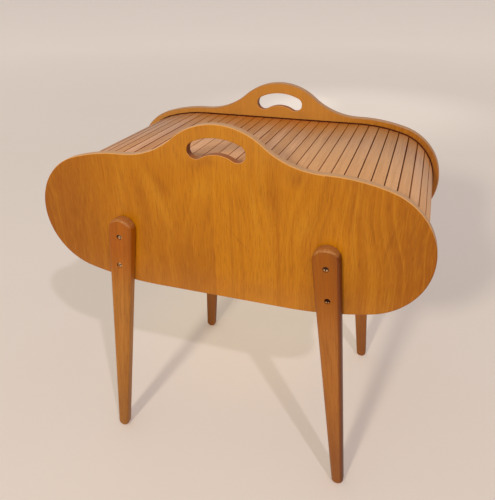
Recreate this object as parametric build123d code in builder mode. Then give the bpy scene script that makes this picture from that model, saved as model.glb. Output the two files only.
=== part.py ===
from build123d import *
import math
import os

# Sewing carrier with two roll lids, in millimetres.
# +X runs along the carrier, +Y from the front panel to the back panel, +Z up.
# The origin is on the floor, under the middle of the carrier.

# ---- driving dimensions ----------------------------------------------------

# outline of the two plywood panels
half_length = 280.0
end_radius = 90.0          # round ends
belly_radius = 480.0       # shallow curve from each end to the flat bottom
shoulder_radius = 260.0    # shallow curve from each end to the flat top
panel_bottom_z = 301.5     # the legs lift the body this far off the floor
end_centre_rise = 101.0    # from the panels' flat bottom to the centre of the round ends
body_height = 198.5        # from the flat bottom to the flat top
hump_height = 50.5         # above the flat top
hump_radius = 95.0
hump_start_x = 138.0
panel_thick = 12.0
panel_gap = 286.4          # between the inner faces of the panels

# hand hole, a bean of four arcs, its heights taken from the panels' flat top
hole_lobe_x = 28.5
hole_lobe_rise = 15.0
hole_lobe_radius = 11.5
hole_top_rise = 33.0
hole_bottom_rise = 11.5

# track of the lids: a groove in each panel
track_inset = 14.0         # from the panel's outline to the middle of the groove
groove_width = 10.4
groove_depth = 6.0

# slats of the lids
slats_per_lid = 22
slat_pitch = 16.67
slat_gap = 0.9
slat_thick = 7.0
slat_flank = 0.7           # how far each flank leans in towards the back
slat_arris = 0.4
tongue_thick = 3.0
tongue_width = 7.0
meeting_x = 6.8            # where the two lids meet
lid_travel = 120.0

# stop rails behind the lids' tails
rail_width = 14.0
rail_thick = 14.0
stop_gap = 0.5

# inner bin
bin_half_length = 176.0
bin_rise = 30.5            # from the panels' flat bottom to the underside of the bin
floor_thick = 6.0
end_board_thick = 6.0
end_board_height = 130.0

# sliding tray and its runners
runner_width = 10.0
runner_height = 10.0
tray_rise = 88.0           # from the underside of the bin to the top of the runners
tray_length = 172.0
tray_height = 40.0
tray_wall = 6.0
tray_floor_thick = 4.0
divider_thick = 4.0
divider_drop = 4.0         # dividers stay this far below the tray's rim
long_divider_y = -45.0

# legs, each on two screws
leg_inset = 130.0          # from the panel's end to the upper screw
leg_anchor_rise = 79.3     # from the panel's flat bottom to the upper screw
leg_rise = 9.2             # from the upper screw to the centre of the round top
leg_top_radius = 18.5
leg_foot_radius = 8.9
leg_foot_wear = 0.4        # worn off the round tip, so that it stands on a small flat
leg_thick = 16.0
leg_foot_thick = 13.2
leg_splay = 6.0            # degrees
leg_arris = 4.0

# countersunk wood screws
screw_spacing = 47.0
screw_head_radius = 4.1
screw_shank_radius = 2.0
screw_head_depth = 2.6
screw_recess = 1.6
screw_in_panel = 9.0
slot_width = 1.1
slot_depth = 1.1

# clearances
screw_clearance = 0.05
end_clearance = 0.3        # slat ends and tongue tips to the panels
tray_side_clearance = 0.8
tray_slide_gap = 0.2
rail_clearance = 0.3

# ---- values that follow -----------------------------------------------------

inner_y = panel_gap / 2
outer_y = inner_y + panel_thick
end_centre_x = half_length - end_radius
end_centre_z = panel_bottom_z + end_centre_rise
panel_top_z = panel_bottom_z + body_height
hump_top_z = panel_top_z + hump_height

belly_rise = panel_bottom_z + belly_radius - end_centre_z
belly_x = end_centre_x - math.sqrt((belly_radius - end_radius) ** 2 - belly_rise ** 2)
belly_angle = math.asin((end_centre_x - belly_x) / (belly_radius - end_radius))

shoulder_rise = end_centre_z - panel_top_z + shoulder_radius
shoulder_x = end_centre_x - math.sqrt((shoulder_radius - end_radius) ** 2 - shoulder_rise ** 2)
shoulder_angle = math.asin((end_centre_x - shoulder_x) / (shoulder_radius - end_radius))
end_sweep = math.pi - belly_angle - shoulder_angle

hump_foot_radius = (hump_start_x ** 2 + hump_height ** 2) / (2 * hump_height) - hump_radius
hump_angle = math.asin(hump_start_x / (hump_radius + hump_foot_radius))

track_top_z = panel_top_z - track_inset
track_bottom_z = panel_bottom_z + track_inset
end_start_s = shoulder_x + (shoulder_radius - track_inset) * shoulder_angle
end_stop_s = end_start_s + (end_radius - track_inset) * end_sweep
belly_stop_s = end_stop_s + (belly_radius - track_inset) * belly_angle
slat_width = slat_pitch - slat_gap
lid_length = slats_per_lid * slat_pitch

bin_bottom_z = panel_bottom_z + bin_rise
tray_bottom_z = bin_bottom_z + tray_rise
leg_anchor_x = half_length - leg_inset
leg_anchor_z = panel_bottom_z + leg_anchor_rise

# The legs were screwed on by hand, so each strays a little in its inset and its splay.
legs = [
    # name, side along X, side along Y, strays, turns of the upper and lower screw slots
    ("front_left_leg", -1, -1, (3.5, 0.6), (20, 125)),
    ("front_right_leg", 1, -1, (-0.6, 0.0), (150, 85)),
    ("back_left_leg", -1, 1, (11.9, -3.5), (70, 10)),
    ("back_right_leg", 1, 1, (1.1, -0.6), (115, 40)),
]

XZ_PLANE = Plane.XZ        # local x is world X, local y is world Z, normal is -Y


def body_half(inset):
    """Lines of the right half of the body's outline, moved in by inset, without the hump."""
    bottom = panel_bottom_z + inset
    Line((0, bottom), (belly_x, bottom))
    CenterArc(
        (belly_x, panel_bottom_z + belly_radius), belly_radius - inset,
        270, math.degrees(belly_angle),
    )
    CenterArc(
        (end_centre_x, end_centre_z), end_radius - inset,
        270 + math.degrees(belly_angle), math.degrees(end_sweep),
    )
    CenterArc(
        (shoulder_x, panel_top_z - shoulder_radius), shoulder_radius - inset,
        90 - math.degrees(shoulder_angle), math.degrees(shoulder_angle),
    )


def panel_face():
    """Face of a panel: the body's outline with the hump of the hand hole on top."""
    with BuildSketch() as face:
        with BuildLine():
            body_half(0)
            Line((shoulder_x, panel_top_z), (hump_start_x, panel_top_z))
            CenterArc(
                (hump_start_x, panel_top_z + hump_foot_radius), hump_foot_radius,
                270, -math.degrees(hump_angle),
            )
            CenterArc(
                (0, hump_top_z - hump_radius), hump_radius,
                90 - math.degrees(hump_angle), math.degrees(hump_angle),
            )
            mirror(about=Plane.YZ)
        make_face()
    return face.sketch


def loop_face(inset):
    """Closed face inside the body's outline, moved in by inset, with a flat top."""
    with BuildSketch() as face:
        with BuildLine():
            body_half(inset)
            Line((shoulder_x, panel_top_z - inset), (0, panel_top_z - inset))
            mirror(about=Plane.YZ)
        make_face()
    return face.sketch


def bean_face():
    """Face of the hand hole: arched top, lobed ends and an arched bottom."""
    hole_lobe_z = panel_top_z + hole_lobe_rise
    hole_top_z = panel_top_z + hole_top_rise
    hole_bottom_z = panel_top_z + hole_bottom_rise
    top_drop = hole_top_z - hole_lobe_z
    top_radius = (hole_lobe_x ** 2 + top_drop ** 2 - hole_lobe_radius ** 2) / (
        2 * (top_drop - hole_lobe_radius)
    )
    top_centre_z = hole_top_z - top_radius
    bottom_drop = hole_lobe_z - hole_bottom_z
    bottom_radius = (hole_lobe_x ** 2 + bottom_drop ** 2 - hole_lobe_radius ** 2) / (
        2 * (hole_lobe_radius - bottom_drop)
    )
    bottom_centre_z = hole_bottom_z - bottom_radius
    top_angle = math.degrees(math.atan2(hole_lobe_x, hole_lobe_z - top_centre_z))
    bottom_angle = math.degrees(math.atan2(hole_lobe_x, hole_lobe_z - bottom_centre_z))
    with BuildSketch() as face:
        with BuildLine():
            CenterArc((0, top_centre_z), top_radius, 90, -top_angle)
            CenterArc(
                (hole_lobe_x, hole_lobe_z), hole_lobe_radius,
                90 - top_angle, top_angle - bottom_angle - 180,
            )
            CenterArc((0, bottom_centre_z), bottom_radius, 90 - bottom_angle, bottom_angle)
            mirror(about=Plane.YZ)
        make_face()
    return face.sketch


def leg_place(strays):
    """Distance of a leg's upper screw from the carrier's middle, and the leg's tilt."""
    inset_stray, splay_stray = strays
    return leg_anchor_x - inset_stray, math.radians(leg_splay + splay_stray)


def leg_plane(x_side, y_side, strays):
    """Plane on a leg's inner face at its upper screw, local y up the leg, normal -Y."""
    anchor_x, tilt = leg_place(strays)
    return Plane(
        origin=(x_side * anchor_x, y_side * outer_y, leg_anchor_z),
        x_dir=(math.cos(tilt), 0, x_side * math.sin(tilt)),
        z_dir=(0, -1, 0),
    )


def leg_profile(strays):
    """Face of a leg seen from the front: the hull of a round top and a round foot."""
    tilt = leg_place(strays)[1]
    foot_drop = (leg_anchor_z - leg_foot_radius + leg_foot_wear) / math.cos(tilt)
    with BuildSketch() as face:
        with Locations((0, leg_rise)):
            Circle(leg_top_radius)
        with Locations((0, -foot_drop)):
            Circle(leg_foot_radius)
        make_hull()
    return face.sketch


def leg_thick_at(z):
    """Thickness of a leg at height z."""
    leg_top_z = leg_anchor_z + leg_rise + leg_top_radius
    return leg_foot_thick + (leg_thick - leg_foot_thick) * z / leg_top_z


def screw_points(x_side, strays):
    """World (x, z) of the upper and the lower screw of a leg."""
    anchor_x, tilt = leg_place(strays)
    return [
        (x_side * (anchor_x + drop * math.sin(tilt)), leg_anchor_z - drop * math.cos(tilt))
        for drop in (0, screw_spacing)
    ]


def screw_head_y(z):
    """Distance from the carrier's middle to the top of a screw head at height z."""
    return outer_y + leg_thick_at(z) - screw_recess


def out_plane(x, y, z, y_side):
    """Plane at a point, its normal out of the front or the back of the carrier."""
    return Plane(origin=(x, y_side * y, z), x_dir=(1, 0, 0), z_dir=(0, y_side, 0))


def track_point(s):
    """Point (x, z) and clockwise turn of the lid track, s millimetres from the top's middle."""
    if s <= shoulder_x:
        return (s, track_top_z), 0.0
    if s <= end_start_s:
        radius = shoulder_radius - track_inset
        turn = (s - shoulder_x) / radius
        centre = (shoulder_x, panel_top_z - shoulder_radius)
    elif s <= end_stop_s:
        radius = end_radius - track_inset
        turn = shoulder_angle + (s - end_start_s) / radius
        centre = (end_centre_x, end_centre_z)
    elif s <= belly_stop_s:
        radius = belly_radius - track_inset
        turn = math.pi - belly_angle + (s - end_stop_s) / radius
        centre = (belly_x, panel_bottom_z + belly_radius)
    else:
        return (belly_x - (s - belly_stop_s), track_bottom_z), math.pi
    return (centre[0] + radius * math.sin(turn), centre[1] + radius * math.cos(turn)), turn


def slat_start(index, side):
    """Track length of a slat's middle with the lid closed; side is 1 right, -1 left."""
    return (index + 0.5) * slat_pitch + side * meeting_x


def track_plane(s, side):
    """Plane on the track: local x along the lid's way out, local y outwards."""
    (x, z), turn = track_point(s)
    return Plane(
        origin=(side * x, 0, z),
        x_dir=(side * math.cos(turn), 0, -math.sin(turn)),
        z_dir=(0, -side, 0),
    )


os.makedirs("parts", exist_ok=True)
pieces = []


def keep(part, name):
    part.label = name
    pieces.append(part)
    export_step(part, f"parts/{name}.step")


# ---- panels -------------------------------------------------------------------

for panel_name, y_side in (("front_panel", -1), ("back_panel", 1)):
    inside = XZ_PLANE.offset(-y_side * inner_y)
    with BuildPart() as panel:
        with BuildSketch(inside):
            add(panel_face())
            add(bean_face(), mode=Mode.SUBTRACT)
        extrude(amount=-y_side * panel_thick)
        with BuildSketch(inside):
            add(loop_face(track_inset - groove_width / 2))
            add(loop_face(track_inset + groove_width / 2), mode=Mode.SUBTRACT)
        extrude(amount=-y_side * groove_depth, mode=Mode.SUBTRACT)
        for leg_name, x_side, leg_y_side, strays, slot_turns in legs:
            if leg_y_side == y_side:
                for x, z in screw_points(x_side, strays):
                    with Locations(out_plane(x, outer_y, z, y_side)):
                        Hole(screw_shank_radius + screw_clearance, screw_in_panel + screw_clearance)
    keep(panel.part, panel_name)

# ---- legs and their screws ----------------------------------------------------

for leg_name, x_side, y_side, strays, slot_turns in legs:
    slope = math.atan2(leg_thick_at(leg_anchor_z) - leg_foot_thick, leg_anchor_z)
    outer_plane = Plane(
        origin=(0, y_side * (outer_y + leg_foot_thick), 0),
        x_dir=(1, 0, 0),
        z_dir=(0, y_side * math.cos(slope), -math.sin(slope)),
    )
    with BuildPart() as leg:
        with BuildSketch(leg_plane(x_side, y_side, strays)):
            add(leg_profile(strays))
        extrude(amount=-y_side * leg_thick)
        split(bisect_by=outer_plane, keep=Keep.BOTTOM)
        outer_face = leg.faces().sort_by(Axis.Y)[0 if y_side < 0 else -1]
        fillet(outer_face.edges(), leg_arris)
        split(bisect_by=Plane.XY, keep=Keep.TOP)
        for x, z in screw_points(x_side, strays):
            with Locations(out_plane(x, screw_head_y(z), z, y_side)):
                Cylinder(
                    screw_shank_radius + screw_clearance, 2 * leg_thick, mode=Mode.SUBTRACT
                )
                Cylinder(
                    screw_head_radius + screw_clearance, leg_thick,
                    align=(Align.CENTER, Align.CENTER, Align.MIN), mode=Mode.SUBTRACT,
                )
                Cone(
                    screw_shank_radius + screw_clearance, screw_head_radius + screw_clearance,
                    screw_head_depth,
                    align=(Align.CENTER, Align.CENTER, Align.MAX), mode=Mode.SUBTRACT,
                )
    keep(leg.part, leg_name)

for group_name, y_side in (("front_leg_screws", -1), ("back_leg_screws", 1)):
    with BuildPart() as screws:
        for leg_name, x_side, leg_y_side, strays, slot_turns in legs:
            if leg_y_side != y_side:
                continue
            for (x, z), slot_turn in zip(screw_points(x_side, strays), slot_turns):
                head_y = screw_head_y(z)
                with Locations(out_plane(x, head_y, z, y_side)):
                    Cone(
                        screw_shank_radius, screw_head_radius, screw_head_depth,
                        align=(Align.CENTER, Align.CENTER, Align.MAX),
                    )
                    Cylinder(
                        screw_shank_radius, head_y - outer_y + screw_in_panel,
                        align=(Align.CENTER, Align.CENTER, Align.MAX),
                    )
                    Box(
                        2 * screw_head_radius, slot_width, 2 * slot_depth,
                        rotation=(0, 0, slot_turn), mode=Mode.SUBTRACT,
                    )
    keep(screws.part, group_name)

# ---- inner bin -----------------------------------------------------------------

with BuildPart() as floor_board:
    with BuildSketch(Plane.XY.offset(bin_bottom_z)):
        Rectangle(2 * bin_half_length, panel_gap)
    extrude(amount=floor_thick)
keep(floor_board.part, "floor_board")

for board_name, x_side in (("left_end_board", -1), ("right_end_board", 1)):
    with BuildPart() as end_board:
        with BuildSketch(Plane.YZ.offset(x_side * bin_half_length)):
            with Locations((0, bin_bottom_z)):
                Rectangle(panel_gap, end_board_height, align=(Align.CENTER, Align.MIN))
        extrude(amount=x_side * end_board_thick)
    keep(end_board.part, board_name)

for runner_name, y_side in (("front_tray_runner", -1), ("back_tray_runner", 1)):
    with BuildPart() as runner:
        with BuildSketch(Plane.XY.offset(tray_bottom_z - runner_height)):
            with Locations((0, y_side * (inner_y - runner_width / 2))):
                Rectangle(2 * bin_half_length, runner_width)
        extrude(amount=runner_height)
    keep(runner.part, runner_name)

# ---- stop rails across the track, behind the lids' tails -------------------------

for rail_name, side in (("left_stop_rail", -1), ("right_stop_rail", 1)):
    rail_s = lid_length + side * meeting_x + lid_travel + stop_gap + rail_width / 2
    rail_plane = track_plane(rail_s, side)
    with BuildPart() as rail:
        with BuildSketch(rail_plane):
            Rectangle(rail_width, rail_thick)
        extrude(amount=inner_y, both=True)
        with BuildSketch(rail_plane):
            Rectangle(rail_width, groove_width - 2 * rail_clearance)
        extrude(amount=inner_y + groove_depth - rail_clearance, both=True)
    keep(rail.part, rail_name)

# ---- sliding tray ------------------------------------------------------------------

tray_left_x = -bin_half_length + tray_side_clearance
tray_mid_x = tray_left_x + tray_length / 2
tray_half_y = inner_y - tray_side_clearance
tray_z = tray_bottom_z + tray_slide_gap

for wall_name, y_side in (("tray_front", -1), ("tray_back", 1)):
    with BuildPart() as long_wall:
        with BuildSketch(Plane.XY.offset(tray_z)):
            with Locations((tray_mid_x, y_side * (tray_half_y - tray_wall / 2))):
                Rectangle(tray_length, tray_wall)
        extrude(amount=tray_height)
    keep(long_wall.part, wall_name)

for wall_name, x_side in (("tray_left", -1), ("tray_right", 1)):
    with BuildPart() as short_wall:
        with BuildSketch(Plane.XY.offset(tray_z)):
            with Locations((tray_mid_x + x_side * (tray_length - tray_wall) / 2, 0)):
                Rectangle(tray_wall, 2 * (tray_half_y - tray_wall))
        extrude(amount=tray_height)
    keep(short_wall.part, wall_name)

with BuildPart() as tray_floor:
    with BuildSketch(Plane.XY.offset(tray_z)):
        with Locations((tray_mid_x, 0)):
            Rectangle(tray_length - 2 * tray_wall, 2 * (tray_half_y - tray_wall))
    extrude(amount=tray_floor_thick)
keep(tray_floor.part, "tray_floor")

divider_height = tray_height - tray_floor_thick - divider_drop
with BuildPart() as long_divider:
    with BuildSketch(Plane.XY.offset(tray_z + tray_floor_thick)):
        with Locations((tray_mid_x, long_divider_y)):
            Rectangle(tray_length - 2 * tray_wall, divider_thick)
    extrude(amount=divider_height)
keep(long_divider.part, "tray_long_divider")

short_divider_front = -(tray_half_y - tray_wall)
short_divider_back = long_divider_y - divider_thick / 2
with BuildPart() as short_divider:
    with BuildSketch(Plane.XY.offset(tray_z + tray_floor_thick)):
        with Locations((tray_mid_x, (short_divider_front + short_divider_back) / 2)):
            Rectangle(divider_thick, short_divider_back - short_divider_front)
    extrude(amount=divider_height)
keep(short_divider.part, "tray_short_divider")

# ---- slats of the two roll lids --------------------------------------------------

slat_half_body = inner_y - end_clearance
slat_half_tip = inner_y + groove_depth - end_clearance


def slat_part(plane):
    """A slat lying on the track plane, with a tongue at each end."""
    with BuildPart() as slat:
        with BuildSketch(plane):
            Polygon(
                (-slat_width / 2, slat_thick / 2),
                (-slat_width / 2 + slat_flank, -slat_thick / 2),
                (slat_width / 2 - slat_flank, -slat_thick / 2),
                (slat_width / 2, slat_thick / 2),
                align=None,
            )
        extrude(amount=slat_half_body, both=True)
        long_edges = slat.edges().filter_by(Axis.Y)
        outer_edges = long_edges.sort_by(lambda edge: plane.to_local_coords(edge.center()).Y)[-2:]
        chamfer(outer_edges, slat_arris)
        with BuildSketch(plane):
            Rectangle(tongue_width, tongue_thick)
        extrude(amount=slat_half_tip, both=True)
    return slat.part


for lid_name, side in (("left", -1), ("right", 1)):
    starts = [slat_start(index, side) for index in range(slats_per_lid)]
    # slats that stay on the round end all the way turn together about its centre
    on_end = [
        index for index, start in enumerate(starts)
        if start >= end_start_s and start + lid_travel <= end_stop_s
    ]
    for index, start in enumerate(starts):
        if index not in on_end:
            keep(slat_part(track_plane(start, side)), f"{lid_name}_slat_{index + 1:02d}")
    with BuildPart() as end_slats:
        for index in on_end:
            add(slat_part(track_plane(starts[index], side)))
    keep(end_slats.part, f"{lid_name}_end_slats")

print(f"{len(pieces)} pieces kept")
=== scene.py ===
# %% [markdown]
# # A sewing carrier with two roll lids
# The carrier stands on four splayed legs. Two humped plywood panels hold a drum of thin slats,
# and the slats are two roll lids that slide apart in grooves cut into the panels.
# We dress the CAD frame piece by piece: first the camera, the floor and the light, then the
# panels, the legs with their screws, the slats, and last what hides inside.

# %% Load the frame
import math
from collections import namedtuple

import bmesh
import bpy
from mathutils import Matrix, Vector
from mathutils.geometry import tessellate_polygon


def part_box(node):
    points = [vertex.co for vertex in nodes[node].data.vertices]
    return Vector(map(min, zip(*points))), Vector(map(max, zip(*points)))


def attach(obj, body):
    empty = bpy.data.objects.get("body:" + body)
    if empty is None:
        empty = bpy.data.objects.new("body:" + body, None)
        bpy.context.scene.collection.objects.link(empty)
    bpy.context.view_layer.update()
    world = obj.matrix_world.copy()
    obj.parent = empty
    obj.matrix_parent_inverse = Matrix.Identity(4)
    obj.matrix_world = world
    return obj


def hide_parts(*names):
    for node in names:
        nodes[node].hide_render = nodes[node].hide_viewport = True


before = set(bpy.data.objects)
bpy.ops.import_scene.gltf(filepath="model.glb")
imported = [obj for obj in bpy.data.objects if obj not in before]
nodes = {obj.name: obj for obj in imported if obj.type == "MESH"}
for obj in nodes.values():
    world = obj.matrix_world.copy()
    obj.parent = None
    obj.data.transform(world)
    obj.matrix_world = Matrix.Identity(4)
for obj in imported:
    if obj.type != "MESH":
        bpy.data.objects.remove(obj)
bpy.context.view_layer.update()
scene = bpy.context.scene

# %% [markdown]
# ## Sizes
# The makers of such a carrier work from one template for both panels, so a few radii describe it
# all. Blender works in metres, so `mm` turns a drawing size into Blender's unit.

# %% Sizes of the carrier
mm = 0.001
quarter = math.pi / 2

half_length = 280 * mm
end_radius = 90 * mm
belly_radius = 480 * mm
shoulder_radius = 260 * mm
panel_bottom_z = 301.5 * mm
end_centre_z = panel_bottom_z + 101 * mm
panel_top_z = panel_bottom_z + 198.5 * mm
hump_height = 50.5 * mm
hump_radius = 95 * mm
hump_start_x = 138 * mm
inner_y = 143.2 * mm
outer_y = 155.2 * mm
panel_thick = outer_y - inner_y

end_centre_x = half_length - end_radius
belly_rise = panel_bottom_z + belly_radius - end_centre_z
belly_x = end_centre_x - math.sqrt((belly_radius - end_radius) ** 2 - belly_rise ** 2)
belly_angle = math.asin((end_centre_x - belly_x) / (belly_radius - end_radius))
shoulder_rise = end_centre_z - panel_top_z + shoulder_radius
shoulder_x = end_centre_x - math.sqrt((shoulder_radius - end_radius) ** 2 - shoulder_rise ** 2)
shoulder_angle = math.asin((end_centre_x - shoulder_x) / (shoulder_radius - end_radius))
end_sweep = math.pi - belly_angle - shoulder_angle
hump_foot_radius = (hump_start_x ** 2 + hump_height ** 2) / (2 * hump_height) - hump_radius
hump_angle = math.asin(hump_start_x / (hump_radius + hump_foot_radius))

print(f"hump foot radius {hump_foot_radius / mm:.1f} mm, shoulder from {shoulder_x / mm:.1f} mm")

# %% [markdown]
# ## Camera
# A camera in Blender looks down its own -Z axis. We turn it up to the horizon, dip it by the angle
# at which a standing person looks at a low piece of furniture, and swing it to the left.

# %% Camera
camera_place = Vector((0.2410, -0.7361, 0.7084))
camera_swing = math.radians(18.937)
camera_dip = math.radians(25.976)
camera_roll = math.radians(-0.444)


def shown(name, data):
    """A new object in the scene."""
    thing = bpy.data.objects.new(name, data)
    scene.collection.objects.link(thing)
    return thing


camera_data = bpy.data.cameras.new("carrier_camera")
camera_data.lens = 37.216
camera_data.shift_y = -0.0344
camera_data.clip_end = 100
camera = shown("carrier_camera", camera_data)
camera_turn = Matrix.Rotation(camera_swing, 4, "Z")
camera_turn = camera_turn @ Matrix.Rotation(quarter - camera_dip, 4, "X")
camera_turn = camera_turn @ Matrix.Rotation(camera_roll, 4, "Z")
camera.matrix_world = Matrix.Translation(camera_place) @ camera_turn
scene.camera = camera
print(f"camera {camera_place.length:.2f} m from the middle of the floor")

# %% [markdown]
# ## Node helpers
# Finishes, lamps and Geometry Nodes are all trees of nodes. `add` sets up one node and hands back
# its output, ready to feed the next one, and the other helpers name what a recipe needs most:
# sums, soft steps (`spread`), stretched noises and mixed colours.

# %% Node helpers
class Nodes:
    """A node tree with short ways to add and join nodes."""

    def __init__(self, tree):
        self.tree = tree

    def put(self, value, socket):
        """Links another node's output to a socket, or sets a plain value on it."""
        if isinstance(value, bpy.types.NodeSocket):
            self.tree.links.new(value, socket)
        else:
            socket.default_value = value

    def add(self, kind, output, inputs=None, **settings):
        """Adds a node and returns one output, or all of them where output is None."""
        node = self.tree.nodes.new(kind)
        for key, value in settings.items():
            setattr(node, key, value)
        for key, value in (inputs or {}).items():
            self.put(value, node.inputs[key])
        return node.outputs if output is None else node.outputs[output]

    def math(self, operation, first, second=0.0, third=0.5, clamp=False):
        inputs = {0: first, 1: second, 2: third}
        return self.add("ShaderNodeMath", 0, inputs, operation=operation, use_clamp=clamp)

    def plus(self, first, second):
        return self.math("ADD", first, second)

    def minus(self, first, second):
        return self.math("SUBTRACT", first, second)

    def times(self, first, second):
        return self.math("MULTIPLY", first, second)

    def size(self, value):
        """A value without its sign."""
        return self.math("ABSOLUTE", value)

    def vectors(self, operation, first, second):
        return self.add("ShaderNodeVectorMath", 0, {0: first, 1: second}, operation=operation)

    def length(self, vector):
        return self.add("ShaderNodeVectorMath", "Value", {0: vector}, operation="LENGTH")

    def parts(self, vector):
        return self.add("ShaderNodeSeparateXYZ", None, {0: vector})

    def join(self, x, y, z):
        return self.add("ShaderNodeCombineXYZ", 0, {0: x, 1: y, 2: z})

    def stretch(self, place, scale, move=(0, 0, 0)):
        """Coordinates that are scaled first and then moved."""
        inputs = {"Vector": place, "Location": move, "Scale": scale}
        return self.add("ShaderNodeMapping", 0, inputs)

    def noise(self, place, scale, detail=2.0, rough=0.5, distort=0.0):
        """A noise with its own scale along each axis."""
        inputs = {
            "Vector": self.stretch(place, scale), "Scale": 1.0, "Detail": detail,
            "Roughness": rough, "Distortion": distort,
        }
        return self.add("ShaderNodeTexNoise", "Fac", inputs)

    def spread(self, value, low, high, to_low=0.0, to_high=1.0, smooth=True):
        """Takes low..high to to_low..to_high, in a soft step or along a straight line."""
        inputs = {
            "Value": value, "From Min": low, "From Max": high, "To Min": to_low, "To Max": to_high,
        }
        kind = "SMOOTHSTEP" if smooth else "LINEAR"
        return self.add("ShaderNodeMapRange", "Result", inputs, interpolation_type=kind)

    def mix(self, share, first, second):
        inputs = {0: share, 6: first, 7: second}
        return self.add("ShaderNodeMix", 2, inputs, data_type="RGBA")


print("node helpers ready")

# %% [markdown]
# ## Finishes
# A painter builds a finish coat by coat. `Finish` does the same: it starts from a base colour, each
# `lay` brushes a share of a new tint over what is there, and `done` hands back the material.

# %% Finish helper
def linear(red, green, blue):
    """A colour picked on screen (0 to 255) as the linear values that nodes take."""
    shares = [channel / 255 for channel in (red, green, blue)]
    return (*[s / 12.92 if s <= 0.04045 else ((s + 0.055) / 1.055) ** 2.4 for s in shares], 1.0)


class Finish(Nodes):
    """A material whose colour is laid on coat by coat; here, x, y and z are its coordinates."""

    def __init__(self, name, base):
        self.material = bpy.data.materials.new(name)
        self.material.use_nodes = True
        super().__init__(self.material.node_tree)
        self.colour = base
        self.here = self.add("ShaderNodeTexCoord", "Object")
        self.x, self.y, self.z = self.parts(self.here)

    def lay(self, share, tint):
        """Brushes a share of a tint over the colour so far."""
        self.colour = self.mix(share, self.colour, tint)

    def lay_where(self, value, low, high, share, tint):
        """Lays none of a tint where value is low, and the share of it where value is high."""
        self.lay(self.spread(value, low, high, 0.0, share), tint)

    def attribute(self, name, output):
        return self.add("ShaderNodeAttribute", output, attribute_name=name)

    def facing(self):
        """Which way the surface looks, along X, Y and Z."""
        return self.parts(self.add("ShaderNodeNewGeometry", "Normal"))

    def bump(self, height, strength, distance=0.2 * mm):
        inputs = {"Height": height, "Strength": strength, "Distance": distance}
        return self.add("ShaderNodeBump", 0, inputs)

    def pores(self, place, scale, start=0.66):
        """Short dark pores, 1 in their middle."""
        return self.spread(self.noise(place, scale, 1.0), start, start + 0.1)

    def grain(self, fibre, share, pore, strength):
        """Bump of raised fibres and sunken pores."""
        return self.bump(self.minus(self.times(fibre, share), pore), strength)

    def done(self, **sockets):
        """Sets the shader's sockets and returns the material."""
        shader = self.tree.nodes["Principled BSDF"]
        for key, value in {"Base_Color": self.colour, **sockets}.items():
            self.put(value, shader.inputs[key.replace("_", " ")])
        return self.material


print("finish helper ready")

# %% [markdown]
# ## Floor
# A plain pale floor, a touch cloudy. Its glow is painted light: it glows faintly, more so far out,
# where it fades into the pale room, so that no horizon shows. Under the body it glows warmer,
# painted bounce light, and two painted pools of light lie on the floor far behind.

# %% Floor
floor_half = 30.0
floor_finish = Finish("pale_floor", linear(240, 234, 228))
floor_finish.lay(floor_finish.noise(floor_finish.here, (1.1, 1.1, 1.1), 3.0), linear(246, 241, 236))


def painted_light_pool(x, y, wide, deep):
    """Share of a soft pool of painted light on the floor, 1 in its middle and 0 beyond wide and
    deep.
    """
    pool = floor_finish.stretch(
        floor_finish.here, (1 / wide, 1 / deep, 0), (-x / wide, -y / deep, 0))
    return floor_finish.spread(floor_finish.length(pool), 0.25, 1.0, 1.0, 0.0)


# painted glow near the carrier and 6 m away, and what each painted pool adds
painted_bounce_pool = painted_light_pool(-0.08, 0.22, 0.40, 0.40)
painted_wide_pool = painted_light_pool(-0.20, 2.45, 1.15, 1.0)
painted_small_pool = painted_light_pool(-0.50, 2.52, 0.30, 0.4)
painted_floor_glow = floor_finish.length(floor_finish.here)
painted_floor_glow = floor_finish.spread(painted_floor_glow, 0.6, 6.0, 0.066, 0.235, smooth=False)
for pool, pool_glow in ((painted_bounce_pool, 0.075), (painted_wide_pool, 0.11), (painted_small_pool, 0.10)):
    painted_floor_glow = floor_finish.plus(painted_floor_glow, floor_finish.times(pool, pool_glow))
# the glow turns warmer under the body, painted bounce light
painted_glow_colour = floor_finish.mix(painted_bounce_pool, (1.0, 0.88, 0.80, 1.0), (1.0, 0.82, 0.55, 1.0))
pale_floor = floor_finish.done(
    Roughness=0.8, Specular_IOR_Level=0.1,
    Emission_Color=painted_glow_colour, Emission_Strength=painted_floor_glow)


def drawn(name, points, edges=(), faces=()):
    """A mesh from lists of points and of their numbers."""
    mesh = bpy.data.meshes.new(name)
    mesh.from_pydata(points, edges, faces)
    return mesh


square = [(-1, -1), (1, -1), (1, 1), (-1, 1)]
floor_corners = [(x * floor_half, y * floor_half, 0) for x, y in square]
floor_mesh = drawn("floor", floor_corners, faces=[(0, 1, 2, 3)])
floor_mesh.materials.append(pale_floor)
floor = shown("floor", floor_mesh)
print(f"floor {2 * floor_half:.0f} m wide")

# %% [markdown]
# ## Light
# An even pale room gives the soft fill, a touch brighter at eye level and dimmer on the right. Two
# soft lamps, one high on the right and one lower on the left, cast the two faint shadows that fan
# out from each leg. Their light stays equally strong with distance, as that of large studio lamps
# nearly does.

# %% Light
def soft_lamp(name, place, strength, softness, blue):
    """A warm lamp of constant strength at place; its bulb looks as wide as softness (degrees)."""
    lamp_data = bpy.data.lights.new(name, "POINT")
    lamp_data.color = (1.0, 0.885, blue)
    lamp_data.energy = 1.0
    lamp_data.shadow_soft_size = Vector(place).length * math.tan(math.radians(softness / 2))
    lamp_data.use_nodes = True
    bulb = Nodes(lamp_data.node_tree)
    steady = bulb.add("ShaderNodeLightFalloff", "Constant", {"Strength": strength})
    bulb.put(steady, bulb.tree.nodes["Emission"].inputs["Strength"])
    shown(name, lamp_data).location = place


soft_lamp("right_lamp", (1.22, -1.68, 2.20), 6.2, 1.6, 0.95)
soft_lamp("left_lamp", (-0.17, -1.73, 1.23), 12.6, 5.0, 0.68)

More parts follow.
